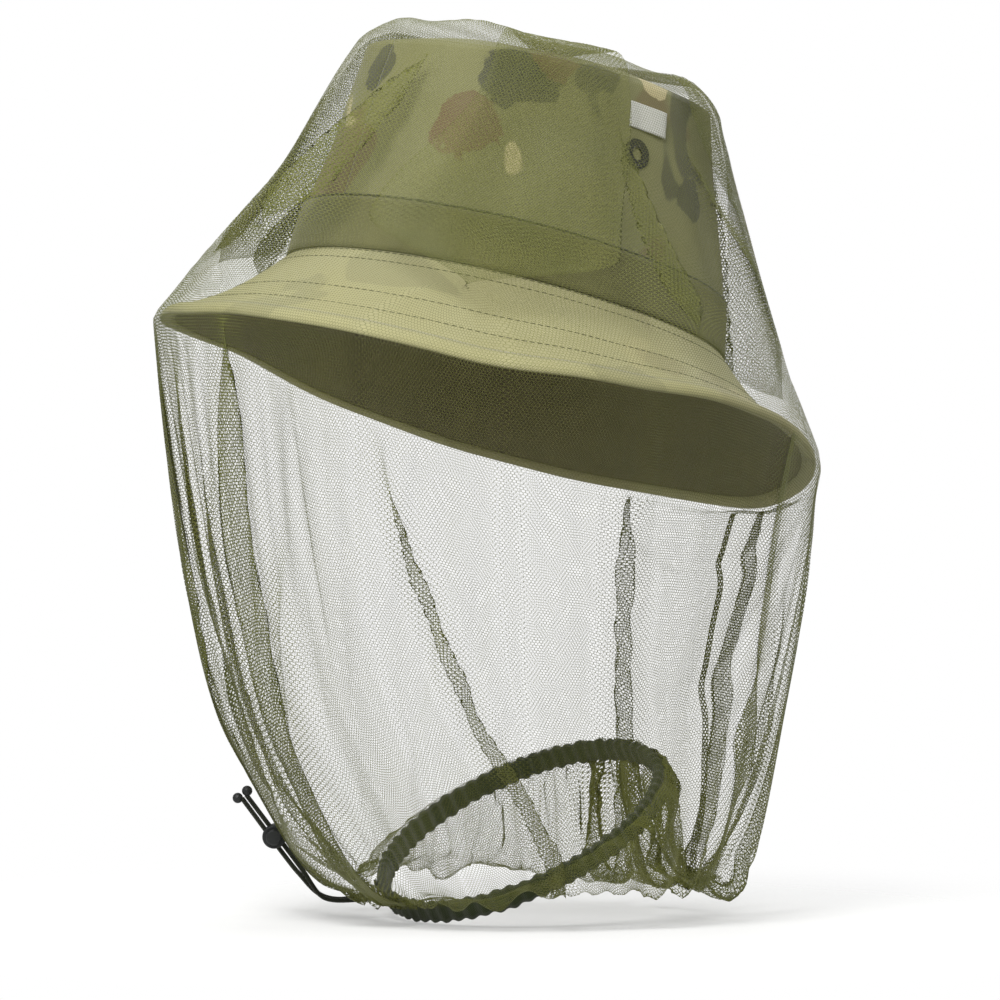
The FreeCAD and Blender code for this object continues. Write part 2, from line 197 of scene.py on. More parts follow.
class Waves:
    """Smooth repeatable noise over (angle, height): a sum of waves that close round the hat."""

    def __init__(self, seed, terms, turns, rise):
        rng = np.random.default_rng(seed)
        self.turns = rng.integers(turns[0], turns[1] + 1, terms)
        self.rise = rng.uniform(-rise, rise, terms)
        self.phase = rng.uniform(0, TWO_PI, terms)
        self.size = rng.uniform(0.5, 1.0, terms) / math.sqrt(terms)

    def __call__(self, angle, height):
        total = 0.0
        for k, r, p, s in zip(self.turns, self.rise, self.phase, self.size):
            total = total + s * np.sin(k * angle + r * height + p)
        return total


def link(obj):
    bpy.context.scene.collection.objects.link(obj)
    return obj


def mesh_object(name, verts, faces, uvs=None):
    """uvs: one (u, v) per face corner, in metres of cloth."""
    mesh = bpy.data.meshes.new(name)
    mesh.from_pydata([tuple(v) for v in verts], [], [tuple(f) for f in faces])
    if uvs is not None:
        layer = mesh.uv_layers.new(name="UVMap")
        layer.data.foreach_set("uv", np.asarray(uvs, np.float32).ravel())
    mesh.polygons.foreach_set("use_smooth", [True] * len(mesh.polygons))
    mesh.update()
    return link(bpy.data.objects.new(name, mesh))


def grid_faces(rows, cols, closed):
    """Quads of a rows x cols grid of points, with the grid's (row, column) at each corner."""
    r = np.arange(rows - 1)
    c = np.arange(cols if closed else cols - 1)
    rr, cc = np.meshgrid(r, c, indexing="ij")
    rr, cc = rr.ravel(), cc.ravel()
    corner_r = np.stack([rr, rr, rr + 1, rr + 1], axis=1)
    corner_c = np.stack([cc, cc + 1, cc + 1, cc], axis=1)
    index = corner_r * cols + corner_c % cols
    return index, corner_r, corner_c


def arc_uv(grid, closed):
    """Cloth coordinates of a grid: mean arc length along rows and down columns, in metres."""
    nxt = np.roll(grid, -1, axis=1) if closed else grid[:, 1:]
    cur = grid if closed else grid[:, :-1]
    across = np.linalg.norm(nxt - cur, axis=2).max(0)
    u = np.concatenate([[0], np.cumsum(across)])
    down = np.linalg.norm(grid[1:] - grid[:-1], axis=2).mean(1)
    v = np.concatenate([[0], np.cumsum(down)])
    return u, v


def sheet(name, grid, u, v):
    """A tube of one layer, with its cloth coordinates along the rows and down the columns."""
    rows, cols = grid.shape[:2]
    index, corner_r, corner_c = grid_faces(rows, cols, True)
    uvs = np.stack([u[corner_c], v[corner_r]], axis=-1).reshape(-1, 2)
    return mesh_object(name, grid.reshape(-1, 3), index, uvs)


def relax(line, times):
    """Smooths a line of points or directions in place, and keeps its ends."""
    for _ in range(times):
        line[1:-1] = (line[:-2] + line[1:-1] * 2 + line[2:]) / 4


def grid_normals(grid, closed):
    if closed:
        du = np.roll(grid, -1, axis=1) - np.roll(grid, 1, axis=1)
    else:
        du = np.gradient(grid, axis=1)
    dv = np.gradient(grid, axis=0)
    n = np.cross(du, dv)
    return n / np.maximum(np.linalg.norm(n, axis=2, keepdims=True), 1e-12)


def outward_normals(grid, closed, middle):
    """Normals that point away from the middle, on the whole."""
    normals = grid_normals(grid, closed)
    return normals * np.sign((normals * (grid - middle)).sum())


def shell(name, grid, thickness, closed=True, flip=False):
    """A closed solid: the grid is its outer face, and its inner face lies at the given depth."""
    rows, cols = grid.shape[:2]
    normals = grid_normals(grid, closed)
    if flip:
        normals = -normals
    inner = grid - normals * thickness
    index, corner_r, corner_c = grid_faces(rows, cols, closed)
    u, v = arc_uv(grid, closed)
    uv_out = np.stack([u[corner_c], v[corner_r]], axis=-1)
    count = rows * cols
    outer_faces = index[:, ::-1] if not flip else index
    inner_faces = index + count if not flip else index[:, ::-1] + count
    uv_a = uv_out[:, ::-1] if not flip else uv_out
    uv_b = uv_out if not flip else uv_out[:, ::-1]
    faces = [outer_faces, inner_faces]
    uvs = [uv_a, uv_b]

    def rim(a, b, ua, va, ub, vb, turn):
        quads = np.stack([a, b, b + count, a + count], axis=1)
        corner = np.stack([
            np.stack([ua, va], 1), np.stack([ub, vb], 1),
            np.stack([ub, vb + thickness], 1), np.stack([ua, va + thickness], 1)], axis=1)
        if turn:
            quads, corner = quads[:, ::-1], corner[:, ::-1]
        faces.append(quads)
        uvs.append(corner)

    c = np.arange(cols if closed else cols - 1)
    first = c % cols
    second = (c + 1) % cols
    rim(first, second, u[c], 0 * c + v[0], u[c + 1], 0 * c + v[0], flip)
    base = (rows - 1) * cols
    rim(base + first, base + second, u[c], 0 * c + v[-1], u[c + 1], 0 * c + v[-1], not flip)
    if not closed:
        r = np.arange(rows - 1)
        rim(r * cols, (r + 1) * cols, 0 * r + u[0], v[r], 0 * r + u[0], v[r + 1], not flip)
        rim(r * cols + cols - 1, (r + 1) * cols + cols - 1,
            0 * r + u[-1], v[r], 0 * r + u[-1], v[r + 1], flip)
    verts = np.concatenate([grid.reshape(-1, 3), inner.reshape(-1, 3)])
    return mesh_object(name, verts, np.concatenate(faces), np.concatenate(uvs).reshape(-1, 2))


def rod(name, points, radius, sides=8, closed=False):
    """A round cord along a list of points."""
    p = np.asarray(points, float)
    count = len(p)
    if closed:
        tangent = np.roll(p, -1, axis=0) - np.roll(p, 1, axis=0)
    else:
        tangent = np.gradient(p, axis=0)
    tangent /= np.linalg.norm(tangent, axis=1, keepdims=True)
    up = np.array([0.0, 0.0, 1.0])
    side = np.cross(tangent, up)
    weak = np.linalg.norm(side, axis=1) < 0.05
    side[weak] = np.cross(tangent[weak], np.array([1.0, 0.0, 0.0]))
    side /= np.linalg.norm(side, axis=1, keepdims=True)
    lift = np.cross(side, tangent)
    turn = turns(sides)
    ring = (p[:, None] + radius * np.cos(turn)[None, :, None] * side[:, None]
            + radius * np.sin(turn)[None, :, None] * lift[:, None])
    if closed:
        ring = np.concatenate([ring, ring[:1]])
    length = np.concatenate([[0], np.cumsum(np.linalg.norm(np.diff(
        np.concatenate([p, p[:1]]) if closed else p, axis=0), axis=1))])
    u = np.arange(sides + 1) * TWO_PI * radius / sides
    rows = len(ring)
    index, corner_r, corner_c = grid_faces(rows, sides, True)
    if closed:
        index = (corner_r % count) * sides + corner_c % sides
        verts = ring[:-1].reshape(-1, 3)
    else:
        verts = ring.reshape(-1, 3)
    uvs = np.stack([u[corner_c], length[corner_r]], axis=-1)
    faces = [tuple(f) for f in index]
    flat = [tuple(x) for x in uvs.reshape(-1, 2)]
    if not closed:
        faces.append(tuple(range(sides)))
        faces.append(tuple(range((rows - 1) * sides, rows * sides))[::-1])
        flat += [(0.0, 0.0)] * (2 * sides)
    return mesh_object(name, verts, faces, flat)


STITCH_SIDES = 6
STITCH_SUNK = 0.3            # how deep the thread lies in the cloth, as a share of its thickness
# Half a stitch's length either way from its middle, and the thread's thickness there
STITCH_PROFILE = ((-0.5, 0.25), (-0.32, 0.85), (0.0, 1.0), (0.32, 0.85), (0.5, 0.25))


def stitch_row(name, path, normals, pitch, length, radius):
    """Separate thread stitches lying along a closed path on cloth; each is a small tapered lozenge."""
    loop = np.concatenate([path, path[:1]])
    norm = np.concatenate([normals, normals[:1]])
    step = np.linalg.norm(np.diff(loop, axis=0), axis=1)
    along = np.concatenate([[0], np.cumsum(step)])
    count = int(along[-1] / pitch)
    verts = []
    faces = []
    sides = STITCH_SIDES
    for i in range(count):
        middle = (i + 0.5) * along[-1] / count
        points = []
        for share, size in STITCH_PROFILE:
            at = middle + share * length
            p = np.array([np.interp(at, along, loop[:, k]) for k in range(3)])
            n = np.array([np.interp(at, along, norm[:, k]) for k in range(3)])
            points.append((p, n / np.linalg.norm(n), size))
        heading = points[-1][0] - points[0][0]
        heading /= np.linalg.norm(heading)
        base = len(verts)
        for p, n, size in points:
            side = np.cross(heading, n)
            for k in range(sides):
                a = TWO_PI * k / sides
                verts.append(p + n * radius * (size - STITCH_SUNK) * 0.5
                             + size * radius * (math.cos(a) * side + math.sin(a) * 0.7 * n))
        rings = len(STITCH_PROFILE)
        for r in range(rings - 1):
            for k in range(sides):
                a = base + r * sides + k
                b = base + r * sides + (k + 1) % sides
                faces.append((a, b, b + sides, a + sides))
        faces.append(tuple(base + k for k in reversed(range(sides))))
        faces.append(tuple(base + (rings - 1) * sides + k for k in range(sides)))
    return mesh_object(name, verts, faces)


# ---------------------------------------------------------------- materials

class Shader:
    """A material's node tree, with short calls for the few node types used here."""

    def __init__(self, name):
        self.material = bpy.data.materials.new(name)
        self.material.use_nodes = True
        self.nodes = self.material.node_tree.nodes
        self.links = self.material.node_tree.links
        self.nodes.clear()
        self.output = self.nodes.new("ShaderNodeOutputMaterial")

    def add(self, kind, settings=None, **sockets):
        node = self.nodes.new("ShaderNode" + kind)
        for key, value in (settings or {}).items():
            setattr(node, key, value)
        for key, value in sockets.items():
            self.put(node, key.replace("_", " "), value)
        return node

    def put(self, node, key, value):
        """Sets or links an input, by its name or as i and its number."""
        socket = node.inputs[int(key[1:])] if key[0] == "i" and key[1:].isdigit() else node.inputs[key]
        if isinstance(value, bpy.types.NodeSocket):
            self.links.new(value, socket)
        else:
            socket.default_value = value

    def math(self, operation, a, b=0.0):
        node = self.nodes.new("ShaderNodeMath")
        node.operation = operation
        for i, value in enumerate((a, b)):
            self.put(node, f"i{i}", value)
        return node.outputs[0]

    def plus(self, a, b):
        return self.math("ADD", a, b)

    def minus(self, a, b):
        return self.math("SUBTRACT", a, b)

    def times(self, a, b):
        return self.math("MULTIPLY", a, b)

    def mix(self, factor, a, b):
        node = self.add("Mix", {"data_type": "RGBA"})
        self.put(node, "i0", factor)
        self.put(node, "i6", a)
        self.put(node, "i7", b)
        return node.outputs[2]

    def step(self, value, low, high):
        """0 below low, 1 above high, smooth between."""
        node = self.add("MapRange", {"interpolation_type": "SMOOTHSTEP"})
        self.put(node, "Value", value)
        self.put(node, "From Min", low)
        self.put(node, "From Max", high)
        return node.outputs[0]

    def shift(self, vector, amount):
        """The same place moved aside, so that one noise serves several patterns."""
        node = self.add("VectorMath", {"operation": "ADD"})
        self.put(node, "i0", vector)
        self.put(node, "i1", (amount, amount * 0.7, amount * 1.3))
        return node.outputs[0]

    def scale_color(self, color, amount):
        node = self.add("VectorMath", {"operation": "SCALE"})
        self.put(node, "i0", color if isinstance(color, bpy.types.NodeSocket) else color[:3])
        self.put(node, "Scale", amount)
        return node.outputs[0]

    def noise(self, vector, scale, detail=2.0, roughness=0.5, distortion=0.0):
        node = self.add("TexNoise", Vector=vector, Scale=scale, Detail=detail)
        node.inputs["Roughness"].default_value = roughness
        node.inputs["Distortion"].default_value = distortion
        return node.outputs["Fac"]

    def uv(self):
        return self.add("UVMap", {"uv_map": "UVMap"}).outputs[0]

    def place(self):
        return self.add("TexCoord").outputs["Object"]

    def split(self, vector):
        node = self.add("SeparateXYZ", Vector=vector)
        return node.outputs[0], node.outputs[1]

    def bump(self, height, distance, strength=1.0):
        return self.add("Bump", Height=height, Distance=distance, Strength=strength).outputs[0]

    def finish(self, surface):
        self.links.new(surface, self.output.inputs["Surface"])
        return self.material


def rgb(red, green, blue):
    """sRGB 0..255 to a linear colour."""
    out = []
    for value in (red, green, blue):
        c = value / 255
        out.append(c / 12.92 if c <= 0.04045 else ((c + 0.055) / 1.055) ** 2.4)
    return (*out, 1.0)


def twill(s, pitch):
    """Height of a diagonal weave: fine ribs crossed by threads, from the cloth coordinates."""
    u, v = s.split(s.uv())
    k = TWO_PI / pitch
    diagonal = s.math("SINE", s.times(s.plus(u, v), k))
    thread = s.math("SINE", s.times(u, k * 2.0))
    return s.plus(s.times(diagonal, 0.35), s.times(thread, 0.15))


def cloth_shader(s, color, height, distance, roughness=0.85, sheen=0.25):
    bsdf = s.add("BsdfPrincipled", Roughness=roughness)
    s.put(bsdf, "Base Color", color)
    s.put(bsdf, "Sheen Weight", sheen)
    s.put(bsdf, "Sheen Roughness", 0.4)
    s.put(bsdf, "Specular IOR Level", 0.2)
    s.put(bsdf, "Normal", s.bump(height, distance))
    return bsdf.outputs[0]


def hat_cloth_material(name, ground, blotch_mix, patches):
    """Cotton twill with a soft generic blotch pattern in greens, browns and sand."""
    s = Shader(name)
    place = s.place()
    warp = s.noise(place, 28.0, 3.0)
    patch_a = s.noise(s.shift(place, 3.1), 13.0, 2.0, 0.45, 0.6)
    patch_b = s.noise(s.shift(place, 7.7), 15.0, 2.0, 0.45, 0.7)
    patch_c = s.noise(s.shift(place, 11.3), 17.0, 2.0, 0.45, 0.8)
    brown = s.step(patch_a, 0.56, 0.585)
    sand = s.step(patch_b, 0.63, 0.65)
    dark = s.step(patch_c, 0.625, 0.645)
    color = s.mix(s.times(brown, blotch_mix), ground, rgb(108, 84, 54))
    color = s.mix(s.times(sand, blotch_mix), color, rgb(205, 192, 140))
    color = s.mix(s.times(dark, blotch_mix), color, rgb(38, 38, 32))
    ragged = s.noise(place, 70.0, 3.0, 0.55)
    patch_mix = 0.4 + 0.55 * blotch_mix
    for patch_color, spot, radius in patches:
        here = s.times(blotch(s, place, spot, radius, ragged), patch_mix)
        color = s.mix(here, color, patch_color)
    weave = twill(s, 1.3 * MM)
    fade = s.mix(s.times(warp, 0.35), color, rgb(190, 190, 160))
    shade = s.plus(0.86, s.times(weave, 0.28))
    tinted = s.scale_color(fade, shade)
    crease = s.noise(place, 160.0, 4.0, 0.6)
    height = s.plus(s.times(weave, 0.4), s.times(crease, 0.9))
    return s.finish(cloth_shader(s, tinted, height, 0.35 * MM))


def blotch(s, place, spot, radius, noise):
    """0..1 mask of a ragged patch round a point of the cloth."""
    away = s.add("VectorMath", {"operation": "DISTANCE"})
    s.put(away, "i0", place)
    s.put(away, "i1", tuple(float(x) for x in spot))
    rough = s.times(s.minus(noise, 0.5), 1.6 * radius)
    ragged = s.plus(away.outputs["Value"], rough)
    return s.minus(1.0, s.step(ragged, radius * 0.9, radius))


def plain_cloth_material(name, color, pitch=1.1 * MM):
    s = Shader(name)
    weave = twill(s, pitch)
    wear = s.noise(s.place(), 60.0, 4.0, 0.6)
    shade = s.plus(s.plus(0.72, s.times(weave, 0.3)), s.times(wear, 0.45))
    tinted = s.scale_color(color, shade)
    height = s.plus(weave, s.times(s.noise(s.place(), 220.0, 3.0), 0.8))
    return s.finish(cloth_shader(s, tinted, height, 0.3 * MM))


NET_PITCH = 1.5 * MM         # from one hole to the next
NET_YARN = 0.038             # half the yarn's width as a share of the pitch
NET_FUZZ = 0.06              # softness of the yarn's edge, as a share of the pitch
NET_HAZE = 0.02              # loose fibres over the holes
NET_EDGE_ON = 0.18           # below this cosine of the view angle the yarn grows no wider
NET_WIDEN = 0.85             # how strongly it grows until then
NET_TRANSLUCENT = 0.15


def net_material():
    """Open hexagonal net: thin yarn round holes, with the yarn wider where the net is seen edge-on."""
    s = Shader("net")
    u, v = s.split(s.uv())
    root3 = math.sqrt(3.0)

    def lattice(offset):
        x = s.plus(s.math("DIVIDE", u, NET_PITCH), offset)
        y = s.plus(s.math("DIVIDE", v, NET_PITCH * root3), offset)
        x = s.minus(s.math("FRACT", x), 0.5)
        y = s.times(s.minus(s.math("FRACT", y), 0.5), root3)
        x = s.math("ABSOLUTE", x)
        y = s.math("ABSOLUTE", y)
        slant = s.plus(s.times(x, 0.5), s.times(y, root3 / 2))
        return s.math("MAXIMUM", x, slant)

    # distance from the nearest hexagon centre, 0 in the middle and 0.5 on the yarn's axis
    reach = s.math("MINIMUM", lattice(0.0), lattice(0.5))
    gather = s.add("Attribute", {"attribute_name": "gather"}).outputs["Fac"]
    normal = s.add("NewGeometry")
    facing = s.add("VectorMath", {"operation": "DOT_PRODUCT"})
    s.put(facing, "i0", normal.outputs["Normal"])
    s.put(facing, "i1", normal.outputs["Incoming"])
    straight = s.math("MAXIMUM", s.math("ABSOLUTE", facing.outputs["Value"]), NET_EDGE_ON)
    widen = s.math("POWER", s.math("DIVIDE", 1.0, straight), NET_WIDEN)
    half_yarn = s.times(s.times(NET_YARN, widen), gather)
    edge = s.minus(0.5, half_yarn)
    yarn_here = s.step(reach, s.minus(edge, NET_FUZZ), s.plus(edge, NET_FUZZ))
    covered = s.plus(s.times(yarn_here, 1 - NET_HAZE), NET_HAZE)
    tone = s.noise(s.place(), 40.0, 2.0)
    color = s.mix(tone, rgb(92, 99, 40), rgb(122, 122, 60))
    round_yarn = s.times(s.minus(reach, edge), 6.0)
    bsdf = s.add("BsdfPrincipled", Roughness=0.45)
    s.put(bsdf, "Base Color", color)
    s.put(bsdf, "Specular IOR Level", 0.4)
    s.put(bsdf, "Normal", s.bump(round_yarn, 0.12 * MM, 0.5))
    through = s.add("BsdfTranslucent", Color=color)
    yarn = s.add("MixShader")
    s.put(yarn, "i0", NET_TRANSLUCENT)
    s.put(yarn, "i1", bsdf.outputs[0])
    s.put(yarn, "i2", through.outputs[0])
    clear = s.add("BsdfTransparent")
    both = s.add("MixShader")
    s.put(both, "i0", covered)
    s.put(both, "i1", clear.outputs[0])
    s.put(both, "i2", yarn.outputs[0])
    return s.finish(both.outputs[0])


def enamel_material():
    s = Shader("eyelet_enamel")
    worn_edge = s.step(s.noise(s.place(), 900.0, 3.0), 0.62, 0.72)
    color = s.mix(worn_edge, rgb(28, 28, 26), rgb(120, 118, 108))
    bsdf = s.add("BsdfPrincipled", Roughness=0.28, Metallic=0.6)
    s.put(bsdf, "Base Color", color)
    s.put(bsdf, "Normal", s.bump(s.noise(s.place(), 1500.0, 2.0), 0.03 * MM))
    return s.finish(bsdf.outputs[0])


def plastic_material():
    s = Shader("black_plastic")
    grain = s.noise(s.place(), 2600.0, 3.0)
    bsdf = s.add("BsdfPrincipled")
    s.put(bsdf, "Base Color", s.mix(grain, rgb(22, 24, 23), rgb(38, 42, 40)))
    s.put(bsdf, "Roughness", s.plus(0.38, s.times(grain, 0.2)))
    s.put(bsdf, "Normal", s.bump(grain, 0.06 * MM))
    return s.finish(bsdf.outputs[0])


def steel_material():
    s = Shader("spring_steel")
    bsdf = s.add("BsdfPrincipled", Roughness=0.3, Metallic=1.0)
    s.put(bsdf, "Base Color", s.mix(s.noise(s.place(), 1200.0), rgb(150, 150, 148), rgb(200, 200, 198)))
    return s.finish(bsdf.outputs[0])


def cord_material():
    """Braided cord: strands crossing left and right round it."""
    s = Shader("braided_cord")
    u, v = s.split(s.uv())
    around = s.times(u, TWO_PI / (1.0 * MM))
    length = s.times(v, TWO_PI / (1.6 * MM))
    left = s.math("SINE", s.plus(around, length))
    right = s.math("SINE", s.minus(around, length))
    braid = s.math("MAXIMUM", left, right)
    color = s.mix(s.step(braid, 0.2, 1.0), rgb(18, 20, 15), rgb(58, 62, 44))
    return s.finish(cloth_shader(s, color, braid, 0.18 * MM, 0.7))


def thread_material(name, color):
    s = Shader(name)
    twist = s.math("SINE", s.times(s.noise(s.place(), 700.0), 30.0))
    shade = s.plus(0.85, s.times(twist, 0.15))
    return s.finish(cloth_shader(s, s.scale_color(color, shade), twist, 0.05 * MM, 0.6))


def label_material():
    """Blank woven satin tape."""
    s = Shader("blank_label")
    rib = s.math("SINE", s.times(s.split(s.uv())[1], TWO_PI / (0.5 * MM)))
    shade = s.plus(0.93, s.times(rib, 0.06))
    color = s.scale_color(rgb(232, 232, 226), shade)
    return s.finish(cloth_shader(s, color, rib, 0.08 * MM, 0.5, 0.4))


DARK, BROWN, SAND = rgb(34, 34, 30), rgb(104, 76, 48), rgb(222, 206, 160)
# Larger patches of the cloth pattern: colour, degrees round the crown, height, radius (mm)
CROWN_PATCHES = ((DARK, -40, 80, 17), (DARK, -94, 77, 9), (DARK, 22, 52, 10), (BROWN, -52, 56, 15),
                 (BROWN, -28, 96, 12), (DARK, 150, 60, 18), (BROWN, 110, 40, 16), (SAND, 8, 97, 8),
                 (DARK, -150, 50, 14), (BROWN, 60, 78, 14))
BRIM_PATCHES = ((SAND, 21, 0.72, 11), (BROWN, 100, 0.5, 16), (DARK, 160, 0.4, 14), (BROWN, -150, 0.6, 12))


def wall_half(share):
    """Half width and half length of the crown's wall at this share of its height."""
    return HEAD_A + (TOP_A - HEAD_A) * share, HEAD_B + (TOP_B - HEAD_B) * share


def brim_half(share):
    """The same for the brim at this share of the way out to its edge."""
    return HEAD_A + (BRIM_A - HEAD_A) * share, HEAD_B + (BRIM_B - HEAD_B) * share


def wall_spot(degrees, height):
    angle = math.radians(degrees)
    share = height / CROWN_H
    half_x, half_y = wall_half(share)
    return worn([half_x * math.cos(angle), half_y * math.sin(angle) + LEAN * share, height])


def brim_spot(degrees, share):
    angle = math.radians(degrees)
    half_x, half_y = brim_half(share)
    return worn([half_x * math.cos(angle), half_y * math.sin(angle), -BRIM_DROP * share])


CROWN_SPOTS = [(color, wall_spot(degrees, height * MM), radius * MM)
               for color, degrees, height, radius in CROWN_PATCHES]
BRIM_SPOTS = [(color, brim_spot(degrees, share), radius * MM)
              for color, degrees, share, radius in BRIM_PATCHES]
MATERIALS = {
    "crown": hat_cloth_material("hat_cloth", rgb(124, 122, 78), 0.9, CROWN_SPOTS),
    # The brim's cloth is the crown's fabric with a paler ground: painted light on the brim's upturned top;
    # its fewer blotches are the pattern.
    "brim": hat_cloth_material("brim_cloth_painted_light", rgb(178, 172, 124), 0.2, BRIM_SPOTS),
    "band": plain_cloth_material("crown_band", rgb(118, 116, 76), 0.8 * MM),
    "lining": plain_cloth_material("brim_lining", rgb(112, 104, 72)),
    "interlining": plain_cloth_material("interlining", rgb(205, 200, 184), 0.8 * MM),
    "tape": plain_cloth_material("hat_tape", rgb(112, 112, 72), 0.8 * MM),
    "net": net_material(),
    "net_tape": plain_cloth_material("net_tape", rgb(54, 62, 34), 0.7 * MM),
    "cord": cord_material(),
    "label": label_material(),
    "enamel": enamel_material(),
    "plastic": plastic_material(),
    "steel": steel_material(),
    "hat_thread": thread_material("hat_thread", rgb(70, 72, 44)),
    "net_thread": thread_material("net_thread", rgb(60, 74, 34)),
}


def dress(obj, material):
    obj.data.materials.clear()
    obj.data.materials.append(MATERIALS[material])
    return obj


def piece(obj, material, body, slot, *stands_for):
    dress(obj, material)
    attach(obj, body)
    if stands_for:
        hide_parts(*stands_for)
    return obj


def bending_piece(obj, material, bodies, slot, ends, *stands_for):
    """A piece in its material, with the parts it stands for hidden and its place baked into its points; the
    bodies and ends are not used.
    """
    dress(obj, material)
    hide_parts(*stands_for)
    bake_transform(obj)


# ---------------------------------------------------------------- hat

DENTS = Waves(11, 9, (2, 6), 45.0)
RIPPLES = Waves(12, 12, (7, 15), 90.0)
EYELETS = node_points("vent_eyelets")
EYELET_FLAT = 17 * MM        # the cloth lies flat this far round a point ...
EYELET_RISE = 6 * MM         # ... that is this much above each eyelet
EYELET_SPOTS = [level(EYELETS[EYELETS[:, 0] * side > 0]).mean(0) for side in (1, -1)]


def slumped(angle, height):
    """Height of the crown's cloth once the front has sunk a little."""
    share = np.clip(height / CROWN_H, 0, 1.2)
    return height * (1 - CROWN_SLUMP * share * (1 - np.sin(angle)) / 2)


def crown_point(angle, height, out):
    """Outside of the crown's wall, level; height in metres, out = distance outside it."""
    share = height / CROWN_H
    half_x, half_y = (half + out for half in wall_half(share))
    soft = np.sin(np.clip(share, 0, 1) * math.pi)
    dent = (1.8 * DENTS(angle, height) + 0.6 * RIPPLES(angle, height)) * MM * soft
    swell = 1.2 * MM * soft
    for spot in EYELET_SPOTS:
        away = (half_x * np.cos(angle) - spot[0])**2 + (half_y * np.sin(angle) + LEAN * share - spot[1])**2
        away = away + (height - spot[2] - EYELET_RISE)**2
        near = 1 - np.exp(-(away / (2 * EYELET_FLAT**2))**2)
        dent, swell = dent * near, swell * near
    x = (half_x + dent + swell) * np.cos(angle)
    y = (half_y + dent + swell) * np.sin(angle) + LEAN * share
    return np.stack([x, y, slumped(angle, height)], axis=-1)


def crown_sleeve_grid(low, high, out, rows, cols, start=0.0, end=TWO_PI):
    closed = abs(end - start - TWO_PI) < 1e-6
    angle = np.linspace(start, end, cols, endpoint=not closed)
    height = np.linspace(high, low, rows)
    a, h = np.meshgrid(angle, height)
    return crown_point(a, h, out)


def make_crown():
    """The wall's two panels, the top, the tapes inside, the band outside, and their stitches."""
    seam = 0.2 * MM / HEAD_B
    for name, start in (("crown_side_panel_left", -math.pi / 2), ("crown_side_panel_right", math.pi / 2)):
        grid = crown_sleeve_grid(CROWN_FOOT, CROWN_H, 0.0, 40, 150, start + seam, start + math.pi - seam)
        panel = shell(name + "_cloth", worn(grid), CLOTH, closed=False)
        piece(panel, "crown", "hat", "hat_cloth", name)

    rows = 26
    share = np.linspace(0.0, 1.0, rows)[:, None]
    angle = np.linspace(0, TWO_PI, 240, endpoint=False)[None, :]
    spread = np.maximum(share, 0.012)
    rise = DOME * (1 - share**2.4)
    soft = np.sin(share * math.pi)
    rise = rise + (1.5 * DENTS(angle, 0.03 + share * 0.05) - 0.4) * MM * soft
    x = TOP_A * spread * np.cos(angle)
    y = TOP_B * spread * np.sin(angle) + LEAN
    middle_height = CROWN_H * (1 - CROWN_SLUMP / 2)
    seat = slumped(angle, CROWN_H) * spread + middle_height * (1 - spread)
    top = np.stack([x, y, seat + 0.6 * MM + rise], axis=-1)
    piece(shell("crown_top_panel_cloth", worn(top), CLOTH, flip=True), "crown", "hat", "hat_cloth",
          "crown_top_panel")

    tape = crown_sleeve_grid(CROWN_H - 8 * MM, CROWN_H - 1 * MM, -1.6 * MM, 5, 200)
    piece(shell("crown_seam_tape_cloth", worn(tape), CLOTH), "tape", "hat", "hat_tape", "crown_seam_tape")
    band = crown_sleeve_grid(CROWN_FOOT, BAND_HIGH[2], 1.5 * MM, 10, 240)
    piece(shell("crown_band_cloth", worn(band), CLOTH), "band", "hat", "hat_tape", "crown_band")
    # A cord in dark thread round the band's top edge: a painted shadow line along that edge.
    angle = np.linspace(0, TWO_PI, 300, endpoint=False)
    band_shadow_cord = rod("crown_band_shadow_cord", worn(crown_point(angle, BAND_HIGH[2] + 0 * angle, 1.6 * MM)), 0.9 * MM,
                 closed=True)
    piece(band_shadow_cord, "hat_thread", "hat", "hat_tape")
    sweat = crown_sleeve_grid(SWEAT_LOW[2], SWEAT_HIGH[2], -1.6 * MM, 10, 240)
    piece(shell("sweatband_cloth", worn(sweat), CLOTH), "tape", "hat", "hat_tape", "sweatband")

    for name, height, out in (("stitch_band_low", BAND_LOW[2] + 2 * MM, 1.6 * MM),
                              ("stitch_band_high", BAND_HIGH[2] - 2 * MM, 1.6 * MM),
                              ("stitch_crown_top", CROWN_H - 3 * MM, 0.05 * MM)):
        angle = np.linspace(0, TWO_PI, 360, endpoint=False)
        path = worn(crown_point(angle, height + 0 * angle, out))
        normal = worn(np.stack([np.cos(angle), np.sin(angle), 0 * angle], axis=-1))
        row = stitch_row(name, path, normal, 3.0 * MM, 2.3 * MM, 0.22 * MM)
        piece(row, "hat_thread", "hat", "hat_tape")


BRIM_RIPPLE = Waves(21, 8, (9, 17), 0.0)


def brim_point(angle, share, below):
    """Top of the brim, level; share 0 at the crown and 1 at the edge, below = depth under its top."""
    reach_x, reach_y = brim_half(share)
    flare = -BRIM_DROP * (share + 0.10 * np.sin(np.clip(share, 0, 1) * math.pi))
    lift = periodic(BRIM_WAVE, np.degrees(angle)) * MM * np.abs(share)**1.6
    small = 0.35 * MM * BRIM_RIPPLE(angle, 0) * share
    out = -0.3 * lift
    x = (reach_x + out * 0.5) * np.cos(angle)
    y = (reach_y + out * 0.5) * np.sin(angle)
    return np.stack([x, y, flare + lift + small - below], axis=-1)


def brim_grid(start, end, below):
    angle = np.linspace(0, TWO_PI, 360, endpoint=False)
    share = np.linspace(start, end, 26)
    a, q = np.meshgrid(angle, share)
    return brim_point(a, q, below)


BRIM_ROWS = (0.05, 0.13, 0.45, 0.68)


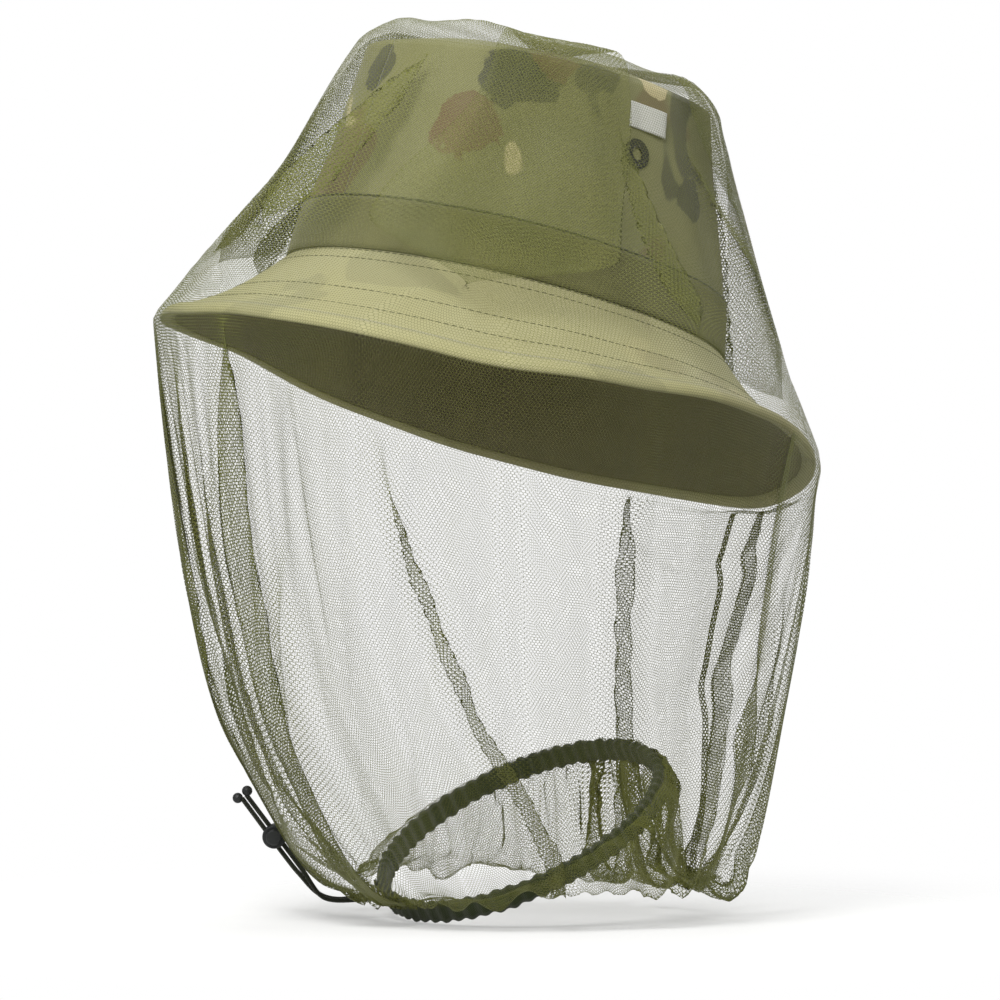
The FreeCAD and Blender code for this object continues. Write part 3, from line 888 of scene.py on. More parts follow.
def make_brim():
    """The brim's three plies, the tape folded over its edge, and its rows of stitches."""
    for name, below, material, slot in (
            ("brim_upper_ply", 0.0, "brim", "hat_cloth"),
            ("brim_interlining", 1.3 * MM, "interlining", "interlining"),
            ("brim_lower_ply", 2.6 * MM, "lining", "brim_lining")):
        grid = worn(brim_grid(0.012, 0.985, below))
        piece(shell(name + "_cloth", grid, CLOTH, flip=True), material, "hat", slot, name)

    angle = np.linspace(0, TWO_PI, 360, endpoint=False)
    top_reach, rows = 0.90, []
    for share, below in ((top_reach, -0.5 * MM), (0.95, -0.6 * MM), (0.99, -0.4 * MM), (1.02, 0.4 * MM),
                         (1.03, 1.7 * MM), (1.02, 3.0 * MM), (0.99, 3.9 * MM), (0.95, 4.1 * MM),
                         (top_reach, 4.0 * MM)):
        rows.append(brim_point(angle, np.full_like(angle, share), below))
    fold = worn(np.stack(rows))
    piece(shell("brim_edge_binding_cloth", fold, 0.5 * MM, flip=True), "brim", "hat", "hat_tape",
          "brim_edge_binding")

    for i, share in enumerate(BRIM_ROWS):
        path = brim_point(angle, np.full_like(angle, share), -0.05 * MM)
        inner = brim_point(angle, np.full_like(angle, share - 0.02), 0.0)
        outer = brim_point(angle, np.full_like(angle, share + 0.02), 0.0)
        around = np.roll(path, -1, axis=0) - np.roll(path, 1, axis=0)
        normal = np.cross(outer - inner, around)
        normal /= np.linalg.norm(normal, axis=1, keepdims=True)
        row = stitch_row(f"stitch_brim_{i + 1}", worn(path), worn(normal), 3.2 * MM, 2.5 * MM, 0.2 * MM)
        piece(row, "hat_thread", "hat", "hat_tape")


# ---------------------------------------------------------------- net

# Pleats laid into the net over the crown, in degrees round the hat (0 = wearer's left, 90 = back).
# Each: angle of its first and second fold at the crown's top edge, the same at the crown's foot,
# the middle of its cloth where it has opened out at the brim's edge, and which fold lies outside.
PLEATS = (
    (-131, -176, -112, -169, -140, 2),
    (-4, -49, -11, -68, -46, 1),
    (66, 20, 92, 52, 56, 1),
    (160, 114, 128, 88, 124, 2),
)
PLEAT_OPEN = 25.0            # degrees of the brim's edge that the folded-back part of a pleat takes
PLEAT_STEP = 1.3 * MM        # distance between the three layers of a pleat
PLEAT_UNFOLD = 24.0          # columns over which a pleat's folds have opened out on the brim
NET_REACH = 1.07             # the net turns over this far out, as a share of the brim's width
NET_ROUND = 0.96             # girth of the net tube
NET_LENGTH = 0.286           # length of the net tube below the brim's edge
HEM_PLEATS = 33
NAPE_TURN = math.radians(-20)   # the gathers run furthest up the net beside the nape, here
NAPE_GATHER = 0.9            # and are this much denser there


def pleated_angles():
    """Angle of every column at the crown's top, the crown's foot and the brim's edge; then its layer."""
    column = np.arange(NET_COLS) * 360.0 / NET_COLS - 180.0
    at, top, foot = [], [], []
    for first_top, second_top, first_foot, second_foot, middle, outer in PLEATS:
        at += [middle - PLEAT_OPEN / 2, middle + PLEAT_OPEN / 2]
        top += [first_top, second_top]
        foot += [first_foot, second_foot]
    at, top, foot = (np.array(x, float) for x in (at, top, foot))

    def wrap(values, turn):
        return np.concatenate([values - turn, values, values + turn])

    xs = wrap(at, 360)
    angle_top = np.interp(column, xs, wrap(top, 360))
    angle_foot = np.interp(column, xs, wrap(foot, 360))
    layer = np.zeros(NET_COLS)
    for first_top, second_top, first_foot, second_foot, middle, outer in PLEATS:
        low, high = middle - PLEAT_OPEN / 2, middle + PLEAT_OPEN / 2
        rise = 1.6 * PLEAT_OPEN
        if outer == 1:
            steps, heights = (low - rise, low, high, high + 2), (0, 2, 1, 0)
        else:
            steps, heights = (low - 2, low, high, high + rise), (0, 1, 2, 0)
        for turn in (-360, 0, 360):
            layer = np.maximum(layer, np.interp(column + turn, steps, heights))
    return np.radians(angle_top), np.radians(angle_foot), np.radians(column), layer


def soften(grid):
    """Rounds the folds by a weighted mean over neighbouring columns."""
    kernel = (1, 2, 3, 2, 1)
    half = len(kernel) // 2
    total = sum(k * np.roll(grid, i - half, axis=1) for i, k in enumerate(kernel))
    return total / sum(kernel)


def smear(values, columns):
    """Mean over neighbouring columns with a bell-shaped weight of this half width."""
    waves = TWO_PI * np.fft.rfftfreq(NET_COLS)
    return np.fft.irfft(np.fft.rfft(values) * np.exp(-(waves * columns)**2 / 2), NET_COLS)


DRAG = Waves(31, 14, (3, 11), 60.0)
FINE = Waves(32, 14, (14, 34), 90.0)
PUFF, PUFF_AT, PUFF_SPREAD = 2.5 * MM, -112, 38   # the net stands a little off the crown here (degrees)


def over_crown(angle, ease, z):
    """A row of the net outside the crown's top edge, this far out."""
    return np.stack([(TOP_A + ease) * np.cos(angle), (TOP_B + ease) * np.sin(angle) + LEAN, z], axis=-1)


def net_top_grid():
    angle_top, angle_foot, angle_brim, layer = pleated_angles()
    rows = []
    from_puff = (np.degrees(angle_top) - PUFF_AT + 180) % 360 - 180
    puff_top = PUFF * np.exp(-from_puff**2 / 2 / PUFF_SPREAD**2)
    cap = (0.015, 0.2, 0.4, 0.6, 0.8, 0.92)
    c, s = np.cos(angle_top), np.sin(angle_top)
    lift = layer * PLEAT_STEP
    rim = slumped(angle_top, CROWN_H)
    for share in cap:
        rise = DOME + 0.5 * MM - 2.0 * MM * share**3 + puff_top * share + lift * share
        rise = rise + 1.3 * MM * DRAG(angle_top, share * 0.07) * share
        seat = rim * share + CROWN_H * (1 - CROWN_SLUMP / 2) * (1 - share)
        rows.append(np.stack([TOP_A * share * c, TOP_B * share * s + LEAN, seat + rise], axis=-1))
    rows.append(over_crown(angle_top, 1.5 * MM + puff_top * 0.35 + lift,
                           rim + 1.5 * MM + puff_top + lift * 0.6))
    ease = 5.5 * MM + puff_top * 0.5
    rows.append(over_crown(angle_top, ease + lift, rim - 6 * MM + puff_top * 0.8))
    sides = 16
    for k in range(1, sides):
        share = k / sides
        to_foot = smoothstep(0.0, 0.62, share)
        to_brim = smoothstep(0.58, 1.0, share)
        angle = angle_top + (angle_foot - angle_top) * to_foot
        angle = angle + (angle_brim - angle) * to_brim
        unfold = PLEAT_UNFOLD * float(smoothstep(0.60, 0.85, share))
        angle = angle_brim + smear(angle - angle_brim, unfold)
        c, s = np.cos(angle), np.sin(angle)
        edge = brim_point(angle, np.full_like(angle, NET_REACH), -1.0 * MM)
        upper = over_crown(angle, ease, slumped(angle, CROWN_H) - 6 * MM + puff_top * 0.8)
        p = upper + (edge - upper) * share
        hang = math.sin(share * math.pi)
        loose = hang * (2.6 * MM * DRAG(angle, share * 0.13) + 0.7 * MM * FINE(angle, share * 0.13))
        out = smear(lift, unfold) * (1 - to_brim) * 1.3 - 4.5 * MM * hang + loose
        p[..., 0] += out * c
        p[..., 1] += out * s
        rows.append(p)
    rows.append(brim_point(angle_brim, np.full_like(angle_brim, NET_REACH), -1.0 * MM))
    rows.append(brim_point(angle_brim, np.full_like(angle_brim, NET_REACH + 0.015), 1.5 * MM))
    return soften(resample(np.stack(rows), NET_TOP_ROWS))


def finer_rows(grid, times):
    """More rows by a smooth curve down every column."""
    n = grid.shape[0]
    t = np.linspace(0, n - 1, (n - 1) * times + 1)
    i = np.clip(t.astype(int), 0, n - 2)
    f = (t - i)[:, None, None]
    slope = np.gradient(grid, axis=0)
    return curve(f, grid[i], grid[i + 1], slope[i], slope[i + 1])


def resample(profile, rows):
    """Evenly spaced points along each column of a profile, by a smooth curve through its points."""
    dense = finer_rows(profile, 10)
    length = np.concatenate([np.zeros((1, profile.shape[1])),
                             np.cumsum(np.linalg.norm(np.diff(dense, axis=0), axis=2), axis=0)])
    out = np.empty((rows, profile.shape[1], 3))
    for c in range(profile.shape[1]):
        at = np.linspace(0, length[-1, c], rows)
        for k in range(3):
            out[:, c, k] = np.interp(at, length[:, c], dense[:, c, k])
    return out


HEM_UP = -NECK_DOWN
HEM_ACROSS = np.array([1.0, 0.0, 0.0])
HEM_BACK = np.cross(HEM_UP, HEM_ACROSS)


def hem_point(angle, radius, along):
    """A point on the neck hem's ring: angle round it, along its axis upwards from its middle."""
    return (NECK_CENTER + (radius * np.cos(angle))[..., None] * HEM_ACROSS
            + (radius * np.sin(angle))[..., None] * HEM_BACK + np.multiply.outer(along, HEM_UP))


def gather_wave(angle):
    """Uneven small pleats round the hem, -1 to 1."""
    drift = 0.5 * np.sin(3 * angle + 0.7) + 0.4 * np.sin(5 * angle + 2.1) + 0.3 * np.sin(9 * angle + 4.0)
    size = 0.7 + 0.3 * np.sin(7 * angle + 1.0)
    return size * np.cos(HEM_PLEATS * angle + 4 * drift)


def skirt_start(angle):
    """The hanging net before it is draped: smooth ovals with the pleats of the hem drawn in."""
    c, s = np.cos(angle), np.sin(angle)
    rows = [worn(brim_point(angle, np.full_like(angle, NET_REACH + 0.015), 1.5 * MM))]
    for half_x, half_y, z, center in SKIRT_OVALS:
        rows.append(np.stack([half_x * MM * c, (half_y * s + center) * MM, z * MM + 0 * c], axis=-1))
    folds = gather_wave(angle)
    rows.append(hem_point(angle, HEM_OUT + 10 * MM + 4 * MM * folds, np.full_like(angle, 4 * MM)))
    rows.append(hem_point(angle, HEM_OUT + 1.2 * MM + 0.8 * MM * folds, np.full_like(angle, 4 * MM)))
    grid = resample(np.stack(rows), SIM_ROWS)
    share = np.linspace(0, 1, SIM_ROWS)[:, None]
    wave = 5 * MM * share**3 * (1 - share**12) * folds
    wave = wave + 4 * MM * np.sin(share * math.pi) * DRAG(angle[None, :], share * 0.2)
    return grid + outward_normals(grid, True, grid.mean((0, 1))) * wave[..., None]


def drape(grid):
    """Lets the hanging net fall between its pinned edges, and returns its new shape."""
    rows, cols = grid.shape[:2]
    index = grid_faces(rows, cols, True)[0]
    obj = mesh_object("drape", grid.reshape(-1, 3), index)
    turn = turns(cols)
    tube = NET_ROUND / TWO_PI
    depth = np.linspace(0, -NET_LENGTH, rows)
    pattern = np.stack([np.broadcast_to(tube * np.cos(turn), (rows, cols)),
                        np.broadcast_to(tube * np.sin(turn), (rows, cols)),
                        np.broadcast_to(depth[:, None], (rows, cols))], axis=-1)
    obj.shape_key_add(name="Basis")
    rest = obj.shape_key_add(name="rest")
    rest.data.foreach_set("co", pattern.reshape(-1).astype(np.float32))
    rest.value = 0.0
    pins = obj.vertex_groups.new(name="pins")
    pins.add(list(range(cols)) + list(range((rows - 1) * cols, rows * cols)), 1.0, "REPLACE")

    bpy.ops.mesh.primitive_plane_add(size=1.2, location=(0, 0, FLOOR_Z + 5 * MM))
    shoulder = bpy.context.object
    shoulder.modifiers.new("Collision", "COLLISION")
    shoulder.collision.thickness_outer = 0.001

    cloth = obj.modifiers.new("Cloth", "CLOTH")
    cloth.settings.quality = 7
    cloth.settings.mass = 0.05
    cloth.settings.tension_stiffness = 12
    cloth.settings.compression_stiffness = 12
    cloth.settings.shear_stiffness = 3
    cloth.settings.bending_stiffness = 0.25
    cloth.settings.air_damping = 2.0
    cloth.settings.vertex_group_mass = "pins"
    cloth.settings.rest_shape_key = rest
    cloth.collision_settings.distance_min = 0.0015
    cloth.collision_settings.use_self_collision = False
    scene = bpy.context.scene
    cloth.point_cache.frame_start = 1
    cloth.point_cache.frame_end = DRAPE_FRAMES
    for step in range(1, DRAPE_FRAMES + 1):
        scene.frame_set(step)
    fallen = obj.evaluated_get(bpy.context.evaluated_depsgraph_get())
    result = np.empty(rows * cols * 3, np.float32)
    fallen.data.vertices.foreach_get("co", result)
    scene.frame_set(1)
    bpy.data.objects.remove(obj)
    bpy.data.objects.remove(shoulder)
    return result.reshape(rows, cols, 3).astype(float)


# Folds lying in the hanging net: its place round the brim (degrees) at the start and at the end, where
# it starts and ends down the net (0 = brim, 1 = hem), half its width there (degrees), and its side
SKIRT_FOLDS = (
    (-56, -31, 0.08, 1.00, 1.1, 2.6, 1),
    (-76, -84, 0.25, 0.95, 1.1, 2.2, 1),
    (-85, -92, -0.15, 1.00, 2.0, 6.5, 1),
    (-104, -107, 0.0, 0.95, 1.8, 4.8, -1),
    (-119, -121, -0.05, 1.00, 1.8, 4.8, 1),
    (-133, -130, -0.20, 0.90, 1.6, 3.6, -1),
    (27, 23, -0.25, 0.90, 1.4, 2.8, -1),
    (33, 8, 0.28, 1.00, 1.6, 3.6, 1),
    (44, 52, -0.15, 1.00, 2.2, 5.0, 1),
    (64, 68, 0.10, 1.00, 1.6, 4.0, -1),
    (80, 86, -0.20, 1.00, 1.6, 4.4, -1),
    (118, 106, -0.20, 1.00, 1.6, 4.4, 1),
    (-152, -147, 0.10, 1.00, 1.6, 4.4, 1),
)
# The same over the crown, where 0 is the middle of the net's top and 1 the brim's edge
TOP_FOLDS = (
    (-82, -98, 0.32, 0.86, 0.8, 5.5, -1),
    (-108, -118, 0.36, 0.84, 0.8, 2.8, 1),
    (-8, 4, 0.36, 0.92, 1.0, 3.4, 1),
    (6, 24, 0.38, 0.76, 0.8, 2.8, -1),
    (84, 90, 0.34, 0.88, 1.0, 3.6, -1),
    (-176, -168, 0.34, 0.88, 1.0, 3.6, 1),
)
FOLD_STEP = 0.9 * MM
FOLD_EASE = 0.3              # share of its length over which a fold opens out at an end
FOLD_CROWDING = 0.75         # how much denser the yarns are in these folds
SKIRT_CROWDING = (0.8, 3.2)  # least and most that the hanging net is gathered, before those folds
TOP_CROWDING = (0.75, 1.0)   # the same for the net over the hat
NAPE_ROWS = (0.66, 0.95)     # share of the net's length over which the nape's gathers set in
BEND_ENDS = (0, 0, -0.060), (0, 0, -0.195)   # two points on the net's axis, one under the hat and one over the hem


def lay_folds(grid, folds):
    """Resamples a net grid to the final columns, and lays narrow three-layer folds in it."""
    rows, cols = grid.shape[:2]
    column = np.arange(NET_COLS) * 360.0 / NET_COLS
    share = np.linspace(0, 1, rows)
    normals = outward_normals(grid, True, grid.mean(axis=1, keepdims=True))
    out = np.empty((rows, NET_COLS, 3))
    layers = np.zeros((rows, NET_COLS))
    for r in range(rows):
        place = column.copy()
        lift = np.zeros(NET_COLS)
        for start, end, low, high, width_low, width_high, side in folds:
            t = (share[r] - low) / (high - low)
            if not 0 <= t <= 1:
                continue
            strength = float(smoothstep(0, FOLD_EASE, t))
            if high < 1:
                strength *= float(smoothstep(0, FOLD_EASE, 1 - t))
            half = width_low + (width_high - width_low) * t
            x = (column - 180 - (start + (end - start) * t) + 180) % 360 - 180
            x = x * side
            corners = (-3 * half, -half, half, 3 * half)
            moved = np.interp(x, corners, (-3 * half, half, -half, 3 * half))
            inside = np.abs(x) < 3 * half
            place = np.where(inside, place + (moved - x) * side * strength, place)
            height = np.interp(x, corners, (0, 2, 1, 0))
            lift = np.maximum(lift, np.where(inside, height * strength, 0))
        at = place / 360 * cols
        i = np.floor(at).astype(int)
        f = (at - i)[:, None]
        before, here, there, after = (grid[r, (i + k) % cols] for k in (-1, 0, 1, 2))
        out[r] = curve(f, here, there, (there - before) / 2, (after - here) / 2)
        out[r] += normals[r, np.round(at).astype(int) % cols] * (lift * FOLD_STEP)[:, None]
        layers[r] = lift
    return out, layers


def set_gather(obj, values):
    """How tightly the net's yarns are crowded together at each point, for its material."""
    attribute = obj.data.attributes.new("gather", "FLOAT", "POINT")
    attribute.data.foreach_set("value", np.asarray(values, np.float32))


def crowding(grid, u, top_rows, layers):
    """How tightly the yarns lie at each point: in gathers, at the nape and in folds."""
    across = np.linalg.norm(np.roll(grid, -1, axis=1) - grid, axis=2)
    across = (across + np.roll(across, 1, axis=1) + np.roll(across, -1, axis=1)) / 3
    gather = np.clip(np.diff(u)[None, :] / np.maximum(across, 1e-6), *SKIRT_CROWDING)**0.8
    gather[:top_rows] = np.clip(gather[:top_rows], *TOP_CROWDING)
    down = smoothstep(*NAPE_ROWS, np.linspace(0, 1, len(grid) - top_rows + 1))[1:, None]
    behind = np.clip(np.sin(turns(NET_COLS) - math.pi - NAPE_TURN), 0, 1)
    gather[top_rows:] *= 1 + NAPE_GATHER * down * behind
    return gather * (1 + FOLD_CROWDING * np.clip(layers, 0, 1))


def make_net():
    """One sheet of net, laid over the hat, hanging from its brim and drawn in at the hem."""
    top, top_layers = lay_folds(worn(net_top_grid()), TOP_FOLDS)
    turn = turns(SIM_COLS) - math.pi
    start = skirt_start(turn)
    skirt = drape(start)
    skirt, skirt_layers = lay_folds(skirt, SKIRT_FOLDS)
    skirt = finer_rows(skirt, 2)
    skirt_layers = finer_rows(skirt_layers[..., None], 2)[..., 0]
    skirt[0] = top[-1]
    grid = np.concatenate([top, skirt[1:]])
    step = np.linalg.norm(np.roll(top, -1, axis=1) - top, axis=2)[10:].mean(0)
    u = np.concatenate([[0], np.cumsum(step)])
    u *= NET_ROUND / u[-1]
    v_top = np.concatenate([[0], np.cumsum(np.linalg.norm(np.diff(top, axis=0), axis=2).mean(1))])
    v_skirt = v_top[-1] + np.linspace(0, NET_LENGTH, skirt.shape[0])[1:]
    net = sheet("veil_net", grid, u, np.concatenate([v_top, v_skirt]))
    layers = np.concatenate([top_layers, skirt_layers[1:]])
    set_gather(net, crowding(grid, u, len(top), layers).ravel())
    bending_piece(net, "net", ("hat", "hem"), "net", BEND_ENDS,
                  "veil_top_net", "veil_skirt_net", "veil_neck_gather")
    return skirt


# ---------------------------------------------------------------- small cloth pieces

HEM_IN = NECK_R
EXIT_BAND = 9.0              # degrees round the cord's exit where the hem lies smooth
HEM_COLS, HEM_SECTION = 540, 18
HEM_SQUARE = 0.55            # how square the hem's section is: 1 = an oval, less = squarer
CORD_R = 1.0 * MM


def make_hem():
    """The casing that the net is gathered into, and the drawcord inside it."""
    middle = (HEM_OUT + HEM_IN) / 2
    thick = (HEM_OUT - HEM_IN) / 2
    a, q = np.meshgrid(turns(HEM_COLS), turns(HEM_SECTION))
    exits = node_points("cord_exit_eyelets").mean(0) - NECK_CENTER
    exit_angle = math.atan2(exits @ HEM_BACK, exits @ HEM_ACROSS)
    away = np.degrees(np.abs((a - exit_angle + math.pi) % TWO_PI - math.pi))
    smooth = smoothstep(EXIT_BAND, 2 * EXIT_BAND, away)
    ruffle = (gather_wave(a) * 0.55 + np.cos(HEM_PLEATS * 2 * a + 2 * np.sin(3 * a))) * smooth
    across = np.sign(np.cos(q)) * np.abs(np.cos(q))**HEM_SQUARE
    along = np.sign(np.sin(q)) * np.abs(np.sin(q))**HEM_SQUARE
    radius = middle + (thick - 0.4 * MM + 0.45 * MM * ruffle) * across
    height = (HEM_H / 2) * along * (1 + 0.10 * ruffle)
    ring = hem_point(a, radius, height)
    ring = np.concatenate([ring, ring[:1]])
    index, corner_r, corner_c = grid_faces(len(ring), HEM_COLS, True)
    index = (corner_r % HEM_SECTION) * HEM_COLS + corner_c % HEM_COLS
    u = np.arange(HEM_COLS + 1) * TWO_PI * middle / HEM_COLS
    v = np.arange(HEM_SECTION + 1) * 1.4 * MM
    uvs = np.stack([u[corner_c], v[corner_r]], axis=-1).reshape(-1, 2)
    casing = mesh_object("hem_casing_cloth", ring[:-1].reshape(-1, 3), index[:, ::-1],
                         uvs.reshape(-1, 4, 2)[:, ::-1].reshape(-1, 2))
    piece(casing, "net_tape", "hem", "net_tape", "hem_casing")

    turn = turns(240)
    core = hem_point(turn, np.full_like(turn, middle), 0 * turn)
    piece(rod("hem_drawcord_braid", core, CORD_R, closed=True), "cord", "hem", "cord", "hem_drawcord")


JOIN_GAP = 1.5 * MM          # lines that end this close to each other are parts of one rod
SHORTEST_ROD = 5.0 * MM      # anything shorter is the flat end of a rod
INTO_BEAD = 2.0 * MM         # the cord's knotted end, inside its bead


def centre_lines(name):
    """Middle lines of a node's separate round rods, from their own points, sorted outwards from the hem."""
    mesh = frame["nodes"][name].data
    parent = list(range(len(mesh.vertices)))

    def root(i):
        while parent[i] != i:
            parent[i] = parent[parent[i]]
            i = parent[i]
        return i

    for edge in mesh.edges:
        parent[root(edge.vertices[0])] = root(edge.vertices[1])
    points = node_points(name)
    groups = np.array([root(i) for i in range(len(points))])
    lines = []
    for group in np.unique(groups):
        own = points[groups == group]
        if np.linalg.norm(own.max(0) - own.min(0)) < SHORTEST_ROD:
            continue
        distance = np.linalg.norm((own - NECK_CENTER)[:, :2], axis=1)
        edges = np.linspace(distance.min(), distance.max() + 1e-6, 15)
        line = []
        for low, high in zip(edges[:-1], edges[1:]):
            inside = (distance >= low) & (distance < high)
            if inside.sum() >= 6:
                line.append((own[inside].max(0) + own[inside].min(0)) / 2)
        line = np.array(line)
        for end, inner in ((0, 1), (-1, -2)):
            direction = line[end] - line[inner]
            direction /= np.linalg.norm(direction)
            line[end] += direction * ((own - line[end]) @ direction).max()
        lines.append(line)
    lines.sort(key=lambda line: np.linalg.norm(line[0] - NECK_CENTER))
    whole = []
    for line in lines:
        gaps = [np.linalg.norm(other[-1] - line[0]) for other in whole]
        if gaps and min(gaps) < JOIN_GAP:
            nearest = int(np.argmin(gaps))
            whole[nearest] = np.concatenate([whole[nearest], line[1:]])
        else:
            whole.append(line)
    return whole


def make_tails():
    """The two ends of the drawcord, from the hem to their beads."""
    for i, line in enumerate(centre_lines("cord_tails")):
        fine = np.linspace(0, len(line) - 1, 60)
        path = np.stack([np.interp(fine, np.arange(len(line)), line[:, k]) for k in range(3)], axis=1)
        relax(path, 4)
        onwards = path[-1] - path[-2]
        path[-1] += onwards / np.linalg.norm(onwards) * INTO_BEAD
        tail = rod(f"cord_tail_{i + 1}", path, CORD_R, sides=12)
        piece(tail, "cord", "cord_tails", "cord", "cord_tails")


SPRING_WIRE = 0.25 * MM      # radius of the lock spring's wire
SPRING_TURNS = 2.0
SPRING_POINTS = 49


def make_spring():
    """The lock's coil spring, wound along the axis that its button is pressed in."""
    joint = next(j for j in frame["record"]["behaviour"]["joints"] if j["name"] == "cord_lock_press")
    axis = np.array(joint["axis"]) / np.linalg.norm(joint["axis"])
    wire = node_points("cord_lock_spring")
    body = node_points("cord_lock_body")
    box_middle = (body.max(0) + body.min(0)) / 2
    lock_axis = box_middle - axis * (box_middle @ axis)
    along = wire @ axis
    low, high = along.min() + SPRING_WIRE, along.max() - SPRING_WIRE
    away = np.linalg.norm(wire - np.outer(along, axis) - lock_axis, axis=1)
    radius = away.max() - SPRING_WIRE
    side = np.cross(axis, HEM_UP)
    side /= np.linalg.norm(side)
    other = np.cross(axis, side)
    share = np.linspace(0, 1, SPRING_POINTS)
    turn = share * SPRING_TURNS * TWO_PI
    coil = (lock_axis + np.outer(low + (high - low) * share, axis)
            + radius * (np.outer(np.cos(turn), side) + np.outer(np.sin(turn), other)))
    ends = [tuple(lock_axis + axis * (low - SPRING_WIRE)), tuple(lock_axis + axis * (high + SPRING_WIRE))]
    if node_points("cord_lock_button").mean(0) @ axis < low:
        ends.reverse()
    bending_piece(rod("cord_lock_spring_coil", coil, SPRING_WIRE), "steel",
                  ("cord_lock", "cord_lock_button"), "spring_steel", ends, "cord_lock_spring")


def make_label():
    """Blank tape sewn to the crown over the wearer's left eyelet, with its ends turned under."""
    rows, cols = 12, 24
    ys = np.linspace(LABEL_LOW[1], LABEL_HIGH[1], cols)
    zs = np.linspace(LABEL_HIGH[2], LABEL_LOW[2], rows)
    y, z = np.meshgrid(ys, zs)
    share = z / CROWN_H
    half_x, half_y = wall_half(share)
    angle = np.arcsin(np.clip((y - LEAN * share) / half_y, -1, 1))
    base = crown_point(angle, z, 0.0)
    edge = np.minimum(np.arange(cols), np.arange(cols)[::-1])[None, :] / 3.0
    bulge = 0.5 * MM + 0.45 * MM * np.clip(edge, 0, 1) + 0.15 * MM * np.sin(y / (3.1 * MM))
    base[..., 0] = half_x + bulge
    base[..., 2] = z
    label = shell("blank_label_tape", worn(base), 0.45 * MM, closed=False)
    piece(label, "label", "hat", "label", "blank_label")


def make_back_tape(skirt):
    """Narrow tape over the net's closing seam, following the draped net down the back."""
    column = np.argmin(np.abs(np.arange(NET_COLS) * 360.0 / NET_COLS - 180.0 - 90.0))
    strip = skirt[2:int(len(skirt) * 0.93), column - 1:column + 2]
    normals = outward_normals(strip, False, skirt.mean((0, 1)))
    middle = strip[:, 1] + normals[:, 1] * 0.8 * MM
    relax(middle, 3)
    side = strip[:, 2] - strip[:, 0]
    side /= np.linalg.norm(side, axis=1, keepdims=True)
    relax(side, 6)
    side /= np.linalg.norm(side, axis=1, keepdims=True)
    reach = np.linspace(-0.5, 0.5, 5) * BACK_TAPE_W
    grid = middle[:, None] + reach[None, :, None] * side[:, None]
    tape = shell("veil_back_seam_ribbon", grid, 0.35 * MM, closed=False)
    set_gather(tape, np.full(len(tape.data.vertices), SEAM_GATHER))
    bending_piece(tape, "net", ("hat", "hem"), "net_tape", BEND_ENDS, "veil_back_seam_tape")


# ---------------------------------------------------------------- stage, light, camera

FLOOR_FADE = (0.16, 0.42)    # the floor fades out between these distances from the origin


def make_stage():
    mesh = bpy.data.meshes.new("floor")
    size = 12.0
    z = FLOOR_Z - 0.5 * MM
    corners = [(-size, -size, z), (size, -size, z), (size, size, z), (-size, size, z)]
    mesh.from_pydata(corners, [], [(0, 1, 2, 3)])
    floor = link(bpy.data.objects.new("floor", mesh))
    s = Shader("floor")
    distance = s.add("VectorMath", {"operation": "LENGTH"})
    s.put(distance, "i0", s.place())
    bsdf = s.add("BsdfDiffuse", Color=(0.9, 0.9, 0.89, 1))
    clear = s.add("BsdfTransparent")
    fade = s.add("MixShader")
    s.put(fade, "i0", s.step(distance.outputs["Value"], *FLOOR_FADE))
    s.put(fade, "i1", bsdf.outputs[0])
    s.put(fade, "i2", clear.outputs[0])
    floor.data.materials.append(s.finish(fade.outputs[0]))


def aim(obj, target, azimuth, elevation, distance):
    """Stands a light or camera at this direction from the target (0 = in front of it), facing it."""
    a, e = math.radians(azimuth), math.radians(elevation)
    toward = np.array([math.sin(a) * math.cos(e), -math.cos(a) * math.cos(e), math.sin(e)])
    obj.location = target + toward * distance
    obj.rotation_euler = Vector(-toward).to_track_quat("-Z", "Y").to_euler()


LIGHT_TARGET = np.array([0, 0, -0.07])
# Each light: azimuth, elevation (degrees), distance, size (m), power (W)
LIGHTS = {
    "key": (28, 42, 1.6, 0.6, 26),
    "side": (120, 30, 1.8, 1.0, 8),
    "top": (230, 70, 1.8, 1.0, 12),
}


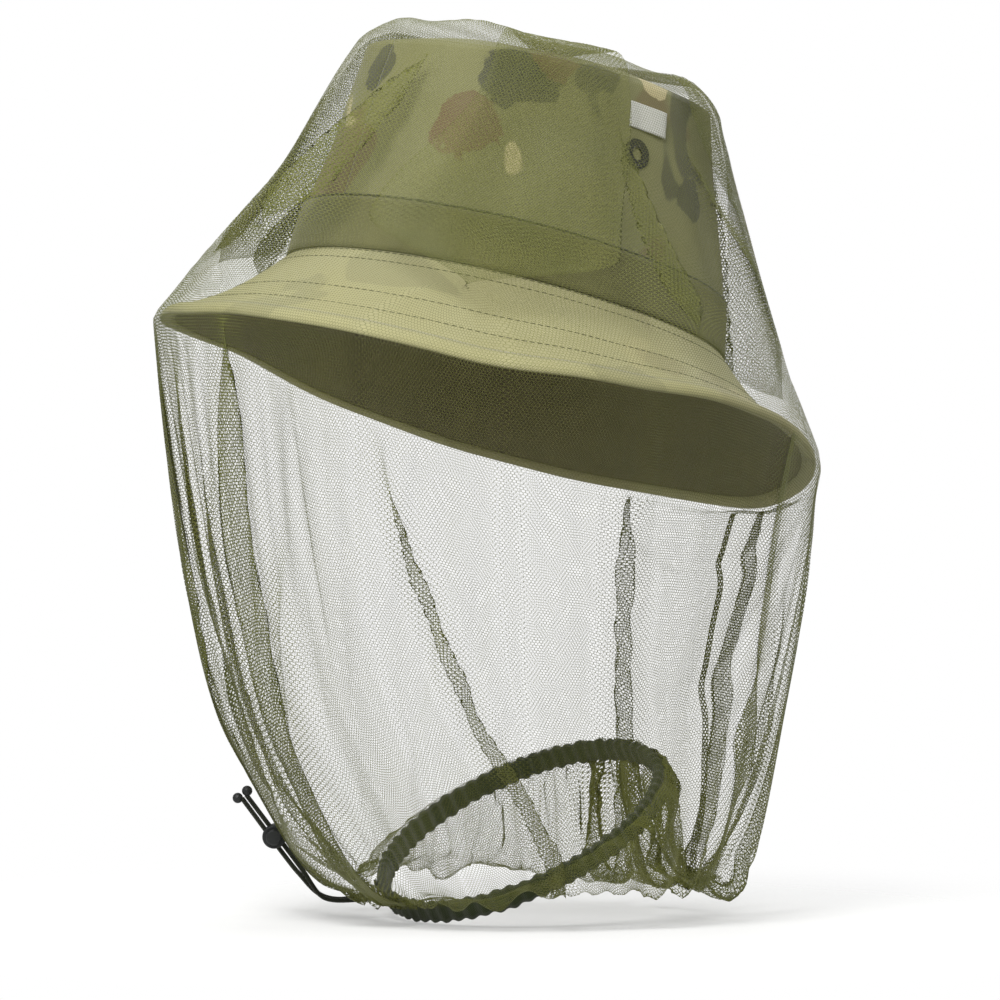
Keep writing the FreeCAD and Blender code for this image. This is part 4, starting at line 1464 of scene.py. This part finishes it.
def make_lights():
    for name, (azimuth, elevation, distance, size, power) in LIGHTS.items():
        light = bpy.data.lights.new(name, "AREA")
        light.size = size
        light.energy = power
        aim(link(bpy.data.objects.new(name, light)), LIGHT_TARGET, azimuth, elevation, distance)


VIEW_AZIMUTH, VIEW_ELEVATION = 50.0, 1.5
WORLD_LIGHT = 0.45
CAMERA_DISTANCE, CAMERA_LENS = 3.0, 259.0
AIM_RIGHT, AIM_Z = -0.003, -0.081


def make_camera():
    camera = link(bpy.data.objects.new("camera", bpy.data.cameras.new("camera")))
    camera.data.lens = CAMERA_LENS
    camera.data.clip_start = 0.05
    camera.data.clip_end = 100
    a = math.radians(VIEW_AZIMUTH)
    right = np.array([math.cos(a), math.sin(a), 0])
    target = right * AIM_RIGHT + np.array([0, 0, AIM_Z])
    aim(camera, target, VIEW_AZIMUTH, VIEW_ELEVATION, CAMERA_DISTANCE)
    bpy.context.scene.camera = camera


def make_world():
    world = bpy.data.worlds.new("studio")
    world.use_nodes = True
    nodes, links = world.node_tree.nodes, world.node_tree.links
    background = nodes["Background"]
    seen = nodes.new("ShaderNodeLightPath")
    strength = nodes.new("ShaderNodeMapRange")
    strength.inputs["To Min"].default_value = WORLD_LIGHT
    strength.inputs["To Max"].default_value = 1.0
    links.new(seen.outputs["Is Camera Ray"], strength.inputs["Value"])
    links.new(strength.outputs[0], background.inputs[1])
    background.inputs[0].default_value = (1.0, 1.0, 1.0, 1)
    bpy.context.scene.world = world


def main():
    make_crown()
    make_brim()
    skirt = make_net()
    make_back_tape(skirt)
    make_hem()
    make_tails()
    make_spring()
    make_label()
    nodes = frame["nodes"]
    for name, material in (
            ("vent_eyelets", "enamel"), ("vent_washers", "enamel"), ("cord_exit_eyelets", "enamel"),
            ("cord_lock_body", "plastic"), ("cord_lock_button", "plastic"), ("cord_end_beads", "plastic")):
        dress(nodes[name], material)
    make_stage()
    make_world()
    make_lights()
    make_camera()
    scene = bpy.context.scene
    scene.view_settings.view_transform = "Standard"
    scene.cycles.transparent_max_bounces = 48


main()
